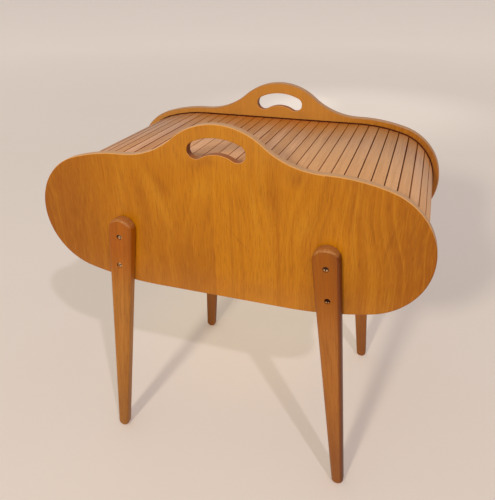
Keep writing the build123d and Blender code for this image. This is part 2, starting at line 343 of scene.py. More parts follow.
room = bpy.data.worlds.new("pale_room")
room.use_nodes = True
room_nodes = Nodes(room.node_tree)
backdrop = room_nodes.tree.nodes["Background"].inputs
sky_x, _, sky_z = room_nodes.parts(room_nodes.add("ShaderNodeTexCoord", "Generated"))
eye_level = (0.715, 0.640, 0.590, 1.0)
overhead = (0.400, 0.356, 0.327, 1.0)
sky_colour = room_nodes.mix(room_nodes.spread(sky_z, 0.1, 0.9), eye_level, overhead)
sky_strength = room_nodes.spread(sky_x, -0.6, 1.0, 1.03, 0.66, smooth=False)
room_nodes.put(sky_colour, backdrop["Color"])
room_nodes.put(sky_strength, backdrop["Strength"])
scene.world = room
scene.view_settings.view_transform = "Standard"
print("two lamps and a pale room")

# %% [markdown]
# ## Outlines
# Real panels are sawn along a template, so their edge is made of a few arcs. We write each arc once
# and let a helper place points on it, closer together where the arc is tight. The left half mirrors
# the right half.

# %% Outline helpers
sag = 0.01 * mm


def arc(centre, radius, start, sweep, moved=0.0):
    """Points (x, z) along an arc whose radius changes by moved; angles turn from +X towards +Z."""
    step = 2 * math.acos(1 - sag / radius)
    count = max(2, math.ceil(abs(sweep) / step))
    reach = radius + moved
    points = []
    for index in range(count + 1):
        angle = start + sweep * index / count
        points.append((centre[0] + reach * math.cos(angle), centre[1] + reach * math.sin(angle)))
    return points


def circle(centre, radius, count=24):
    """Points of a circle, counter-clockwise."""
    angles = [2 * math.pi * index / count for index in range(count)]
    return [(centre[0] + radius * math.cos(a), centre[1] + radius * math.sin(a)) for a in angles]


def both_halves(right_half):
    """Closed loop, counter-clockwise, from its right half, whose ends lie on the middle line."""
    return right_half + [(-x, z) for x, z in reversed(right_half[1:-1])]


def moved_in(loop, distance):
    """A closed counter-clockwise loop moved towards its inside by distance."""
    moved = []
    for index, (x, z) in enumerate(loop):
        before = loop[index - 1]
        after = loop[(index + 1) % len(loop)]
        along_x = after[0] - before[0]
        along_z = after[1] - before[1]
        share = distance / math.hypot(along_x, along_z)
        moved.append((x - along_z * share, z + along_x * share))
    return moved


print("outline helpers ready")

# %% Panel outline
belly_centre = (belly_x, panel_bottom_z + belly_radius)
shoulder_centre = (shoulder_x, panel_top_z - shoulder_radius)
end_centre = (end_centre_x, end_centre_z)


def body_half(inset):
    """Right half of the body's outline, from the bottom's middle to the top, moved in by inset."""
    points = [(0.0, panel_bottom_z + inset)]
    points += arc(belly_centre, belly_radius, -quarter, belly_angle, -inset)
    points += arc(end_centre, end_radius, belly_angle - quarter, end_sweep, -inset)[1:]
    shoulder_start = quarter - shoulder_angle
    points += arc(shoulder_centre, shoulder_radius, shoulder_start, shoulder_angle, -inset)[1:]
    return points


def panel_outline():
    """The body's outline with the hump that carries the hand hole."""
    foot_centre = (hump_start_x, panel_top_z + hump_foot_radius)
    hump_centre = (0.0, panel_top_z + hump_height - hump_radius)
    right_half = body_half(0.0)
    right_half += arc(foot_centre, hump_foot_radius, -quarter, -hump_angle)
    right_half += arc(hump_centre, hump_radius, quarter - hump_angle, hump_angle)[1:]
    return both_halves(right_half)


def groove_line(inset):
    """The body's outline without the hump, moved in by inset."""
    return both_halves(body_half(inset) + [(0.0, panel_top_z - inset)])


outline = panel_outline()
print(f"panel outline of {len(outline)} points")

# %% [markdown]
# ## Hand hole
# The hand hole is a bean: two long arcs, one above and one below, joined by two small round lobes
# that give the fingers an easy edge.

# %% Hand hole
hole_lobe_x = 28.5 * mm
hole_lobe_z = panel_top_z + 15 * mm
hole_lobe_radius = 11.5 * mm
hole_top_z = panel_top_z + 33 * mm
hole_bottom_z = panel_top_z + 11.5 * mm


def hand_hole():
    """The bean's loop, counter-clockwise."""

    def long_arc(drop, side, edge_z):
        """Radius, centre and half angle of the arc above (side 1) or below (-1) the lobes."""
        radius = (hole_lobe_x ** 2 + drop ** 2 - hole_lobe_radius ** 2) / (
            2 * side * (drop - hole_lobe_radius))
        centre = (0.0, edge_z - radius)
        return radius, centre, math.atan2(hole_lobe_x, hole_lobe_z - centre[1])

    top_radius, top_centre, top_angle = long_arc(hole_top_z - hole_lobe_z, 1, hole_top_z)
    bottom_radius, bottom_centre, bottom_angle = long_arc(
        hole_lobe_z - hole_bottom_z, -1, hole_bottom_z)
    lobe_sweep = math.pi + bottom_angle - top_angle
    lobe = (hole_lobe_x, hole_lobe_z)
    right_half = arc(bottom_centre, bottom_radius, quarter, -bottom_angle)
    right_half += arc(lobe, hole_lobe_radius, -quarter - bottom_angle, lobe_sweep)[1:]
    right_half += arc(top_centre, top_radius, quarter - top_angle, top_angle)[1:]
    return both_halves(right_half)


hole = hand_hole()
print(f"hand hole {2 * max(x for x, z in hole) / mm:.0f} mm wide, {len(hole)} points")

# %% [markdown]
# ## Closed shells
# A board with soft edges is a stack of rings: each ring is the outline, moved in a little near the
# faces, and the rings are joined like the hoops of a barrel. `Shell` collects the rings, walls and
# end caps of one piece and closes it.

# %% Shell
class Shell:
    """Builds a closed mesh from rings of points."""

    def __init__(self):
        self.mesh = bmesh.new()

    def ring(self, points):
        return [self.mesh.verts.new(point) for point in points]

    def slice(self, loop, y):
        """A ring from a loop of (x, z), upright at y."""
        return self.ring([(x, y, z) for x, z in loop])

    def wall(self, rings, material=0, smooth=True):
        """Joins each ring to the next one."""
        for first, second in zip(rings, rings[1:]):
            for index in range(len(first)):
                after = (index + 1) % len(first)
                corners = (first[index], first[after], second[after], second[index])
                face = self.mesh.faces.new(corners)
                face.material_index = material
                face.smooth = smooth

    def cap(self, *rings, material=0):
        """Closes a flat area: the first ring is its edge and the others are holes."""
        corners = [corner for ring in rings for corner in ring]
        for triangle in tessellate_polygon([[corner.co for corner in ring] for ring in rings]):
            face = self.mesh.faces.new([corners[index] for index in triangle])
            face.material_index = material

    def done(self, name, *materials):
        """Merges doubled points, turns the faces outwards and returns the piece."""
        bmesh.ops.remove_doubles(self.mesh, verts=self.mesh.verts, dist=0.002 * mm)
        bmesh.ops.recalc_face_normals(self.mesh, faces=self.mesh.faces)
        mesh = bpy.data.meshes.new(name)
        self.mesh.to_mesh(mesh)
        self.mesh.free()
        for material in materials:
            mesh.materials.append(material)
        return shown(name, mesh)


print("shell ready")

# %% Piece helpers
def arris_steps(radius, count):
    """(distance in from the side, depth below the face) along a rounded arris, face first."""
    angles = [quarter * index / count for index in range(count + 1)]
    return [(radius * (1 - math.sin(angle)), radius * (1 - math.cos(angle))) for angle in angles]


def keep(mesh, name, kind, values):
    """Stores one value for each point of a mesh, as an attribute that its finish can read."""
    field = "vector" if kind == "FLOAT_VECTOR" else "value"
    for place, value in zip(mesh.attributes.new(name, kind, "POINT").data, values):
        setattr(place, field, value)


def wear(piece, body, *replaced, slot):
    """Hangs a finished piece on its body in place of CAD nodes; slot is not used."""
    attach(piece, body)
    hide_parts(*replaced)
    print(f"{piece.name}: {len(piece.data.polygons)} faces, rides on {body}")


print("piece helpers ready")

# %% [markdown]
# ## Panel veneer
# The panels are plywood, faced with two leaves of veneer that meet in an upright joint near the
# middle. Amber varnish lies over them. What makes a veneer look real is its figure: a slow drift
# from gold in the middle to brown at the ends, pale and dark flames that lean with the grain, and
# thin dark veins. We lay each one down as a mark, an oval patch whose rim is bent by a noise.

# %% Veneer marks
gold_amber = linear(197, 125, 0)
tints = {
    "brown": linear(155, 87, 0),
    "pale": linear(207, 141, 26),
    "bright": linear(230, 150, 16),
    "vein": linear(130, 66, 0),
}

# marks on the front panel: tint, strength, x, z, half width, half height (mm), lean (degrees)
front_figure = [
    ("brown", 0.50, -225, 400, 62, 130, -8),
    ("brown", 0.30, -112, 430, 18, 70, 10),
    ("brown", 0.45, -82, 458, 14, 36, 22),
    ("brown", 0.30, -44, 335, 50, 50, 0),
    ("brown", 0.45, -20, 498, 30, 11, 0),
    ("brown", 0.35, 76, 458, 12, 40, 12),
    ("brown", 0.45, 105, 490, 30, 20, 10),
    ("brown", 0.30, 62, 318, 40, 20, 0),
    # the two bright marks round the front legs are painted light that lifts the shade the legs cast
    # on the panel; the back panel gets them mirrored
    ("bright", 0.60, -149, 370, 42, 84, 6),
    ("bright", 0.60, 153, 370, 42, 84, -6),
    ("brown", 0.50, 245, 385, 44, 100, 6),
    ("pale", 0.55, -86, 440, 13, 80, 25),
    ("pale", 0.40, -146, 440, 14, 80, -8),
    ("pale", 0.55, -20, 466, 24, 26, 30),
    ("pale", 0.70, 50, 448, 8, 76, 15),
    ("brown", 0.35, 63, 462, 7, 56, 18),
    ("pale", 0.50, 118, 425, 22, 40, -6),
    ("pale", 0.45, 22, 482, 24, 14, 8),
    ("pale", 0.30, 186, 470, 9, 36, 4),
    ("vein", 0.30, 34, 446, 2.4, 48, 14),
    ("vein", 0.28, 30, 400, 1.8, 36, 40),
    ("vein", 0.22, 88, 392, 1.6, 110, 3),
    ("vein", 0.26, 108, 390, 1.5, 110, 1),
    ("vein", 0.22, 127, 436, 2.0, 60, -12),
    ("vein", 0.24, 138, 440, 2.0, 60, -12),
    ("vein", 0.30, 207, 440, 3.0, 44, 20),
    ("vein", 0.40, 229, 424, 4.0, 44, -18),
    ("vein", 0.26, 252, 440, 3.0, 44, -8),
    ("vein", 0.22, 186, 400, 1.8, 80, 5),
]
# the back panel has the same figure mirrored, and one more brown end
back_figure = [
    (tint, share, 20 - x, z, wide, high, -lean)
    for tint, share, x, z, wide, high, lean in front_figure
]
back_figure.append(("brown", 0.8, 266, 410, 60, 110, 0))
print(f"{len(front_figure)} marks on the front panel, {len(back_figure)} on the back one")

# %% Lay the marks
def warp(finish, scale, amount):
    """Coordinates pushed about in the panel's plane by a noise."""
    inputs = {"Vector": finish.stretch(finish.here, scale), "Scale": 1.0, "Detail": 1.0}
    push = finish.add("ShaderNodeTexNoise", "Color", inputs)
    push = finish.vectors("SUBTRACT", push, (0.5, 0.5, 0.5))
    push = finish.vectors("MULTIPLY", push, (amount, 0, amount))
    return finish.vectors("ADD", finish.here, push)


def lay_marks(finish, figure, wandering):
    """Patches with ragged rims, and veins that only wander."""
    ragged = warp(finish, (22, 0, 10), 0.03)
    for tint, strength, x, z, half_wide, half_high, lean in figure:
        oval = finish.add("ShaderNodeMapping", 0, {
            "Vector": wandering if tint == "vein" else ragged, "Location": (x * mm, 0, z * mm),
            "Rotation": (0, math.radians(-lean), 0),
            "Scale": (half_wide * mm, 1000, half_high * mm),
        }, vector_type="TEXTURE")
        finish.lay(finish.spread(finish.length(oval), 0.0, 1.0, strength, 0.0), tints[tint])


print("marks ready")

# %% [markdown]
# ## Flames and fibres
# Between the marks run upright bands that lean by turns to the right and to the left, as veneer cut
# near the heart of a log shows them, with fine streaks inside. Over everything lie short flecks and
# dark pores, noises that are stretched along the grain.

# %% Flames
flame_pitch = 170 * mm
flame_lean = 0.21


def lay_two_tones(finish, value, share, dark_at, dark_tint):
    """Dark where a noise is high, pale where it is low."""
    dark = finish.spread(value, 0.50, dark_at)
    finish.lay(finish.times(dark, share), dark_tint)
    pale = finish.spread(value, 0.50, 0.30)
    finish.lay(finish.times(pale, share), tints["pale"])


def lay_flames(finish, wandering, flame_x, on_left):
    """Leaning bands and the streaks in them, fainter on the left leaf."""
    wave = finish.times(finish.minus(finish.x, flame_x), 2 * math.pi / flame_pitch)
    lean = finish.times(finish.math("COSINE", wave), flame_lean)
    shift = finish.times(lean, finish.spread(finish.z, 0.38, 0.50, 0.0, 0.1))
    shifted = finish.plus(finish.x, shift)
    drift = finish.minus(finish.parts(wandering)[0], finish.x)
    place = finish.join(finish.plus(shifted, drift), on_left, finish.z)
    band = finish.noise(place, (95, 3, 1.6), 1.0)
    lay_two_tones(finish, band, finish.spread(on_left, 0.0, 1.0, 0.28, 0.16), 0.74, tints["brown"])
    streak = finish.noise(place, (330, 3, 3), 2.0, 0.6)
    lay_two_tones(finish, streak, finish.spread(on_left, 0.0, 1.0, 0.20, 0.14), 0.72, tints["vein"])


print("flames ready")

# %% [markdown]
# ## Wear and painted light of the panels
# The inner side is paler, and so is the top of each hump round the hand hole: a painted sheen. The
# bottom is scuffed pale. An arris that looks up is paler, partly wear and partly a painted
# highlight, and one that looks down is darker, a painted shade, so the way that each point faces
# picks its tint.

# %% Panel wear
sheen_amber = linear(216, 162, 86)
scuffed_amber = linear(200, 138, 84)
arris_wear_and_highlight = linear(250, 192, 118)
arris_painted_shade = linear(104, 52, 8)


def lay_panel_wear_and_light(finish, y_side):
    """Scuffs along the bottom, a painted sheen, and wear and painted light along the arrises."""
    finish.lay_where(finish.z, 0.36, 0.30, 0.14, scuffed_amber)
    _, facing_y, facing_z = finish.facing()
    # painted sheen: paler on the inner side, less so at its right end, and on the tops of the humps
    inward = finish.spread(finish.times(facing_y, y_side), 0.3, -0.3)
    sheen_in = finish.spread(finish.z, 0.47, 0.54, 0.50, 0.42)
    sheen_in = finish.times(sheen_in, finish.spread(finish.x, 0.20, 0.06, 0.25, 1.0))
    sheen_out = finish.spread(finish.z, 0.47, 0.54, 0.0, 0.12)
    finish.lay(finish.spread(inward, 0.0, 1.0, sheen_out, sheen_in), sheen_amber)
    # arrises: paler where they look up, wear and a painted highlight; darker where they look down,
    # a painted shade
    on_arris = finish.spread(finish.size(facing_y), 0.97, 0.80)
    finish.lay(finish.times(on_arris, finish.spread(facing_z, 0.1, 0.5, 0.0, 0.75)), arris_wear_and_highlight)
    finish.lay(finish.times(on_arris, finish.spread(facing_z, 0.25, -0.2, 0.0, 0.4)), arris_painted_shade)


print("panel wear ready")

# %% Veneer finish
pore_brown = linear(104, 50, 0)
drift_reach = 290 * mm
joint_blur = 0.6 * mm


def veneer(name, y_side, figure, joint_x, heart_x, flame_x, left_dull):
    """Varnished veneer on the panel's y_side: brightest at heart_x, its leaves meet at joint_x."""
    finish = Finish(name, gold_amber)
    # slow drift from the heart to the ends, and slightly duller towards the bottom
    away = finish.times(finish.minus(finish.x, heart_x), 1 / drift_reach)
    drift = finish.math("MULTIPLY", away, away, clamp=True)
    low = finish.spread(finish.z, 0.45, 0.30, 0.0, 0.06)
    finish.lay(finish.math("ADD", drift, low, clamp=True), tints["brown"])
    # the left leaf is a little duller than the right one, most of all low down
    on_left = finish.spread(finish.x, joint_x + joint_blur, joint_x - joint_blur)
    dull = finish.spread(finish.z, 0.46, 0.34, 0.10, left_dull)
    finish.lay(finish.times(on_left, dull), tints["brown"])
    wandering = warp(finish, (6, 0, 6), 0.03)
    lay_marks(finish, figure, wandering)
    cloud = finish.noise(finish.here, (30, 1, 11), 3.0, 0.6)
    finish.lay_where(cloud, 0.45, 0.75, 0.30, tints["brown"])
    lay_flames(finish, wandering, flame_x, on_left)
    fleck = finish.noise(finish.here, (620, 1, 48), 2.0, 0.6)
    finish.lay_where(fleck, 0.50, 0.72, 0.32, tints["vein"])
    finish.lay_where(fleck, 0.48, 0.28, 0.28, tints["pale"])
    pore = finish.pores(finish.here, (1500, 1, 95))
    finish.lay(finish.times(pore, 0.4), pore_brown)
    lay_panel_wear_and_light(finish, y_side)
    return finish.done(
        Roughness=0.4, Coat_Weight=0.10, Coat_Roughness=0.25, Specular_IOR_Level=0.2,
        Normal=finish.grain(fleck, 0.2, pore, 0.12))


front_veneer = veneer("front_veneer", -1, front_figure, -6 * mm, 8 * mm, 50 * mm, 0.42)
back_veneer = veneer("back_veneer", 1, back_figure, 31 * mm, -10 * mm, -60 * mm, 0.3)
print("veneer ready")

# %% [markdown]
# ## Plywood edge
# The sawn edge of plywood shows its plies: thin layers, by turns pale where the fibres are cut
# along and darker where they are cut across. The layers follow the depth through the panel, so one
# wave along Y draws them. Handling has rounded the edge, and the varnish there is thin. It is
# palest along the top and darker where it turns away from it, a painted shade, and painted shade
# darkens the bottom of the groove.

# %% Ply edge finish
cut_fibre = linear(168, 110, 62)
painted_edge_shade = linear(150, 98, 56)
groove_shade_brown = linear(124, 42, 0)
# pairs of a pale and a dark ply through the panel
ply_pairs = 2.5


def ply_edge(name, pale, dark):
    """Edge of plywood: layers through the panel's thickness."""
    finish = Finish(name, pale)
    out_y = finish.size(finish.y)
    depth = finish.times(finish.minus(out_y, inner_y), 1 / panel_thick)
    wander = finish.noise(finish.here, (30, 1, 30))
    depth = finish.plus(depth, finish.spread(wander, 0.2, 0.8, -0.02, 0.02, smooth=False))
    layer = finish.math("FRACT", finish.times(depth, ply_pairs))
    finish.lay_where(layer, 0.44, 0.56, 0.6, dark)
    fibre = finish.noise(finish.here, (260, 1500, 260))
    finish.lay_where(fibre, 0.35, 0.7, 0.3, cut_fibre)
    _, facing_y, facing_z = finish.facing()
    # painted shade where the edge turns away from the top
    finish.lay_where(facing_z, 0.9, 0.3, 0.7, painted_edge_shade)
    # painted shade on the bottom of the groove
    groove_shade = finish.spread(out_y, inner_y + 4 * mm, inner_y + 5 * mm)
    groove_shade = finish.times(groove_shade, finish.spread(finish.size(facing_y), 0.7, 0.95))
    groove_shade = finish.times(groove_shade, finish.spread(out_y, inner_y + 8 * mm, inner_y + 7 * mm))
    finish.lay(groove_shade, groove_shade_brown)
    return finish.done(
        Roughness=0.5, Coat_Weight=0.15, Coat_Roughness=0.35, Normal=finish.bump(fibre, 0.2))


front_ply = ply_edge("front_ply_edge", linear(240, 190, 134), linear(220, 164, 106))
back_ply = ply_edge("back_ply_edge", linear(212, 166, 116), linear(192, 140, 90))
print("ply edges ready")

# %% [markdown]
# ## Edge of the hand holes
# The hand holes drank more varnish, and are darker where the edge faces +X, at their left ends.

# %% Grip finish
def grip():
    """Varnished edge of a hand hole."""
    finish = Finish("grip_finish", linear(212, 136, 58))
    fibre = finish.noise(finish.here, (260, 1500, 260))
    facing_x, _, facing_z = finish.facing()
    finish.lay_where(fibre, 0.35, 0.7, 1.0, linear(188, 112, 42))
    finish.lay_where(facing_z, 0.1, 0.7, 0.85, linear(176, 100, 12))
    finish.lay_where(facing_x, 0.55, 0.95, 0.9, linear(98, 36, 2))
    return finish.done(Roughness=0.5)


grip_finish = grip()
print("grip ready")

# %% [markdown]
# ## Panels
# Each panel is one board with three openings in its rings: the outer edge, the hand hole and, on
# the inner side only, the groove that the lids run in. The groove is 6 mm deep, half the panel.

# %% Panel shape
track_inset = 14 * mm
groove_width = 10.4 * mm
groove_depth = 6 * mm
panel_arris = 1.6 * mm
hole_arris = 0.9 * mm
screw_bore = 2.05 * mm
bore_depth = 9.05 * mm


def edge_rings(shell, loop, side, arris, into):
    """Rings across a panel's edge from its inner to its outer face; into is -1 for a hole."""
    steps = arris_steps(arris, 4)
    levels = [(inset, inner_y + depth) for inset, depth in steps]
    levels += [(inset, outer_y - depth) for inset, depth in reversed(steps)]
    return [shell.slice(moved_in(loop, into * inset), side * y) for inset, y in levels]


print(f"groove {groove_width / mm:.1f} mm wide")

# %% Panel mesh
def panel(name, side, bores, *materials):
    """A plywood panel with its hand hole, groove and screw bores; side is -1 at the front."""
    shell = Shell()
    rim = edge_rings(shell, outline, side, panel_arris, 1)
    lip = edge_rings(shell, hole, side, hole_arris, -1)
    shell.wall(rim[:7], material=1)
    shell.wall(rim[6:])
    shell.wall(lip[3:-3], material=2)
    shell.wall(lip[:4])
    shell.wall(lip[-4:])
    outer_loop = groove_line(track_inset - groove_width / 2)
    inner_loop = groove_line(track_inset + groove_width / 2)
    face_y = side * inner_y
    floor_y = side * (inner_y + groove_depth)
    outer_wall = [shell.slice(outer_loop, y) for y in (face_y, floor_y)]
    inner_wall = [shell.slice(inner_loop, y) for y in (floor_y, face_y)]
    shell.wall(outer_wall, material=1)
    shell.wall([outer_wall[1], inner_wall[0]], material=1, smooth=False)
    shell.wall(inner_wall, material=1)
    drilled = []
    for centre in bores:
        bore = circle(centre, screw_bore)
        tube = [shell.slice(bore, y) for y in (side * outer_y, side * (outer_y - bore_depth))]
        shell.wall(tube, material=1)
        shell.cap(tube[1], material=1)
        drilled.append(tube[0])
    shell.cap(rim[0], outer_wall[0], lip[0])
    shell.cap(inner_wall[1])
    shell.cap(rim[-1], lip[-1], *drilled)
    return shell.done(name, *materials)


print("panel mesh ready")

# %% [markdown]
# ## Legs
# A leg is a long taper, 37 mm wide and 16 mm thick at its round top, 18 mm and 13 mm at its round
# foot: in the front view, the hull of two circles. Each leg is screwed flat on a panel and splays
# outwards by about six degrees. They were mounted by hand, so each strays a little, the back left
# one most of all.

# %% Leg sizes
leg_anchor_x = 150 * mm
leg_anchor_z = panel_bottom_z + 79.3 * mm
leg_rise = 9.2 * mm
leg_top_radius = 18.5 * mm
leg_foot_radius = 8.9 * mm
leg_foot_wear = 0.4 * mm
leg_thick = 16 * mm
leg_foot_thick = 13.2 * mm
leg_splay = 6.0
screw_spacing = 47 * mm

# sides along X and Y, strays of the inset (mm) and the splay (degrees), stain (paler above 0,
# darker below), painted shade on the right side, and for its two screws their slot turns and the
# share of their painted shadow
Leg = namedtuple(
    "Leg", "x_side y_side inset_stray splay_stray stain side_dirt slot_turns screw_dirts")
legs = {
    "front_left_leg": Leg(-1, -1, 3.5, 0.6, 0.18, 0.7, (120, 28), (0.70, 0.15)),
    "front_right_leg": Leg(1, -1, -0.6, 0.0, -0.01, 1.5, (80, 88), (0.96, 3.0)),
    "back_left_leg": Leg(-1, 1, 11.9, -3.5, 0.04, 1.0, (70, 10), (0.60, 0.80)),
    "back_right_leg": Leg(1, 1, 1.1, -0.6, -0.17, 1.0, (115, 40), (0.85, 0.50)),
}
print(f"{len(legs)} legs, splayed by about {leg_splay:.0f} degrees")

# %% Leg places
def leg_thick_at(z):
    """Thickness of a leg at a height above the floor."""
    leg_top_z = leg_anchor_z + leg_rise + leg_top_radius
    return leg_foot_thick + (leg_thick - leg_foot_thick) * z / leg_top_z


def leg_place(leg):
    """Place (x) of a leg's upper screw, and its turn about Y, positive on the right."""
    x = leg.x_side * (leg_anchor_x - leg.inset_stray * mm)
    return x, leg.x_side * math.radians(leg_splay + leg.splay_stray)


def on_leg(leg, points):
    """Points (across, up) of a leg's own drawing as (x, z)."""
    anchor_x, tilt = leg_place(leg)
    cos, sin = math.cos(tilt), math.sin(tilt)
    return [
        (anchor_x + across * cos - up * sin, leg_anchor_z + up * cos + across * sin)
        for across, up in points
    ]


def screw_places(leg):
    """(x, z) of a leg's upper and lower screw."""
    return on_leg(leg, [(0.0, 0.0), (0.0, -screw_spacing)])


def bores_on(side):
    """Screw places on the front (-1) or the back (1) panel."""
    return [place for leg in legs.values() if leg.y_side == side for place in screw_places(leg)]


front_panel = panel("front_panel_board", -1, bores_on(-1), front_veneer, front_ply, grip_finish)
back_panel = panel("back_panel_board", 1, bores_on(1), back_veneer, back_ply, grip_finish)
wear(front_panel, "case", "front_panel", slot="varnished_plywood")
wear(back_panel, "case", "back_panel", slot="varnished_plywood")

# %% [markdown]
# ## Leg wood
# The legs are solid wood, redder and finer than the veneer. A solid texture suits them: the grain
# is cut by the shape. Each leg carries two attributes: `grain_place`, its drawing coordinates, so
# that the fibres follow its splay, and `facing`, which way each point of its surface looks: across
# the leg, into a screw hole, or up. The sides are darker than the face, a painted shade. The end
# grain of the round top stayed pale, and lies where the leg looks up, partly a painted highlight.
# Painted shade darkens the tops of the screw holes, and dirt and painted shade the line along the
# panel.

# %% Leg tone
foot_wood = linear(149, 92, 40)
leg_middle_wood = linear(179, 113, 44)
left_leg_top = linear(176, 97, 0)
right_leg_top = linear(162, 91, 0)
pale_stain = linear(214, 161, 56)
dark_stain = linear(62, 42, 32)


def lay_leg_tone(finish):
    """Varnished gold on the panel, browner below it, paler or darker by the leg's stain."""
    finish.lay_where(finish.z, 0.02, 0.20, 1.0, leg_middle_wood)
    top = finish.mix(finish.spread(finish.x, -0.05, 0.05), left_leg_top, right_leg_top)
    finish.lay_where(finish.z, 0.26, 0.36, 1.0, top)
    stain = finish.attribute("stain", "Fac")
    stain = finish.times(stain, finish.spread(finish.z, 0.37, 0.28))
    finish.lay(finish.spread(stain, 0.0, 1.0, smooth=False), pale_stain)
    finish.lay(finish.spread(stain, 0.0, -1.0, smooth=False), dark_stain)


def above_screw(finish):
    """Height of a point above the axis of the nearest screw."""
    spacing = screw_spacing * math.cos(math.radians(leg_splay))
    above_lower = finish.minus(finish.z, leg_anchor_z - spacing)
    return finish.math("WRAP", above_lower, spacing / 2, -spacing / 2)


print("leg tone ready")

# %% Leg wood finish
leg_band_brown = linear(120, 58, 8)
leg_fibre_brown = linear(124, 62, 8)
leg_pore_brown = linear(80, 38, 6)
side_shade = linear(92, 36, 6)
leg_arris_shade = linear(96, 38, 6)
pale_end_grain = linear(212, 156, 92)
dark_end_grain = linear(168, 104, 52)
dirt_and_shade_brown = linear(44, 18, 4)


def leg_finish():
    """Stained solid wood of the legs, with painted shade and highlight, and soil along the panel.
    """
    finish = Finish("leg_wood_finish", foot_wood)
    grain_at = finish.attribute("grain_place", "Vector")
    across, out, up = finish.parts(grain_at)
    facing_across, in_hole, facing_up = finish.parts(finish.attribute("facing", "Vector"))
    lay_leg_tone(finish)
    band = finish.noise(grain_at, (110, 110, 2.2), 2.0, 0.5, 0.4)
    finish.lay_where(band, 0.35, 0.65, 0.16, leg_band_brown)
    fibre = finish.noise(grain_at, (900, 900, 22), 3.0, 0.6)
    finish.lay_where(fibre, 0.42, 0.70, 0.45, leg_fibre_brown)
    pore = finish.pores(grain_at, (1700, 1700, 150))
    finish.lay(finish.times(pore, 0.4), leg_pore_brown)
    # painted shade on the sides, scaled per leg on the right side
    sideways = finish.times(facing_across, facing_across)
    finish.lay(finish.spread(sideways, 0.35, 2.0, 0.0, 0.8, smooth=False), side_shade)
    # the right front leg is darker along its right half, above all on the routed arris, a painted
    # shade: only there does the grain place reach these values
    right_half = finish.spread(across, 0.048, 0.060, 0.0, 0.16)
    right_side = finish.spread(up, -0.28, 0.1034, 0.0556, 0.0652, smooth=False)
    arris = finish.spread(finish.minus(right_side, across), 0.0045, 0.0037, 0.0, 0.46)
    arris = finish.times(arris, finish.spread(out, 0.05, -0.05))
    finish.lay(finish.plus(right_half, arris), leg_arris_shade)
    speckle = finish.noise(grain_at, (700, 700, 700), 2.0, 0.6)
    end_grain = finish.mix(finish.spread(speckle, 0.35, 0.65), pale_end_grain, dark_end_grain)
    # pale end grain where the leg looks up, partly a painted highlight
    finish.lay_where(facing_up, 0.25, 0.60, 0.75, end_grain)
    # dirt and painted shade along the panel, and painted shade at the top of each screw hole
    from_panel = finish.minus(finish.size(finish.y), outer_y)
    dirt_and_shade_line = finish.spread(from_panel, 0.0014, 0.0006, 0.0, 0.5)
    dirt_and_shade_line = finish.times(dirt_and_shade_line, finish.spread(finish.z, 0.295, 0.305))
    # painted shade on the upper wall of each screw hole
    bore_top_shade = finish.times(finish.spread(above_screw(finish), -0.0022, 0.0004), in_hole)
    finish.lay(finish.math("MAXIMUM", dirt_and_shade_line, bore_top_shade), dirt_and_shade_brown)
    return finish.done(
        Roughness=0.45, Coat_Weight=0.12, Coat_Roughness=0.3, Specular_IOR_Level=0.2,
        Normal=finish.grain(fibre, 0.3, pore, 0.15))


leg_wood = leg_finish()
print("leg wood ready")

# %% [markdown]
# ## Leg mesh
# Rings run round the leg's outline, from its inner face to its outer one. A router cut the outer
# arris: it rounds off into the side, but meets the face at a crisp line.

# %% Leg outline
inner_arris = 0.8 * mm
routed_width = 4.0 * mm
routed_depth = 4.5 * mm
routed_turn = math.radians(60)


def leg_drawing(tilt):
    """Loop of a leg in its own drawing (across, up), counter-clockwise: round foot, round top."""
    foot_up = -(leg_anchor_z - leg_foot_radius + leg_foot_wear) / math.cos(tilt)
    lean = math.asin((leg_top_radius - leg_foot_radius) / (leg_rise - foot_up))
    foot = arc((0.0, foot_up), leg_foot_radius, math.pi + lean, math.pi - 2 * lean)
    top = arc((0.0, leg_rise), leg_top_radius, -lean, math.pi + 2 * lean)
    return foot + top


def routed_steps(count):
    """(distance in from the side, depth below the face) along the routed arris, side first."""
    steps = []
    for index in range(count + 1):
        angle = routed_turn * index / count
        inset = routed_width * (1 - math.cos(angle)) / (1 - math.cos(routed_turn))
        steps.append((inset, routed_depth * (1 - math.sin(angle) / math.sin(routed_turn))))
    return steps


print("leg outline ready")

# %% Leg mesh
head_radius = 4.1 * mm
head_depth = 2.6 * mm
head_recess = 1.6 * mm
shank_radius = 2.0 * mm
screw_clearance = 0.05 * mm
bore_radius = head_radius + screw_clearance
mouth_wear = 0.2 * mm
tolerance = 0.01 * mm


def leg_shell(name, leg):
    """A leg's mesh: a routed outer arris and two countersunk bores."""
    shell = Shell()
    loop = on_leg(leg, leg_drawing(leg_place(leg)[1]))

    def ring(points, out_at):
        """Ring of points (x, z), out_at(z) off the panel and cut off at the floor."""
        return shell.ring([(x, leg.y_side * (outer_y + out_at(z)), max(z, 0.0)) for x, z in points])

    def outer_ring(points, depth):
        return ring(points, lambda z: leg_thick_at(z) - depth)

    rings = [
        ring(moved_in(loop, inset), lambda z: out) for inset, out in arris_steps(inner_arris, 3)]
    rings += [outer_ring(moved_in(loop, inset), depth) for inset, depth in routed_steps(6)]
    shell.wall(rings)
    mouths, exits = [], []
    for centre in screw_places(leg):
        bore = circle(centre, bore_radius, 32)
        shank = circle(centre, shank_radius + screw_clearance, 32)
        tube = [
            outer_ring(circle(centre, bore_radius + mouth_wear, 32), 0.0),
            outer_ring(bore, mouth_wear), outer_ring(bore, head_recess),
            outer_ring(shank, head_recess + head_depth), shell.slice(shank, leg.y_side * outer_y),
        ]
        shell.wall(tube, smooth=False)
        mouths.append(tube[0])
        exits.append(tube[-1])
    shell.cap(rings[0], *exits)
    shell.cap(rings[-1], *mouths)
    return shell.done(name + "_wood", leg_wood)


print("leg mesh ready")

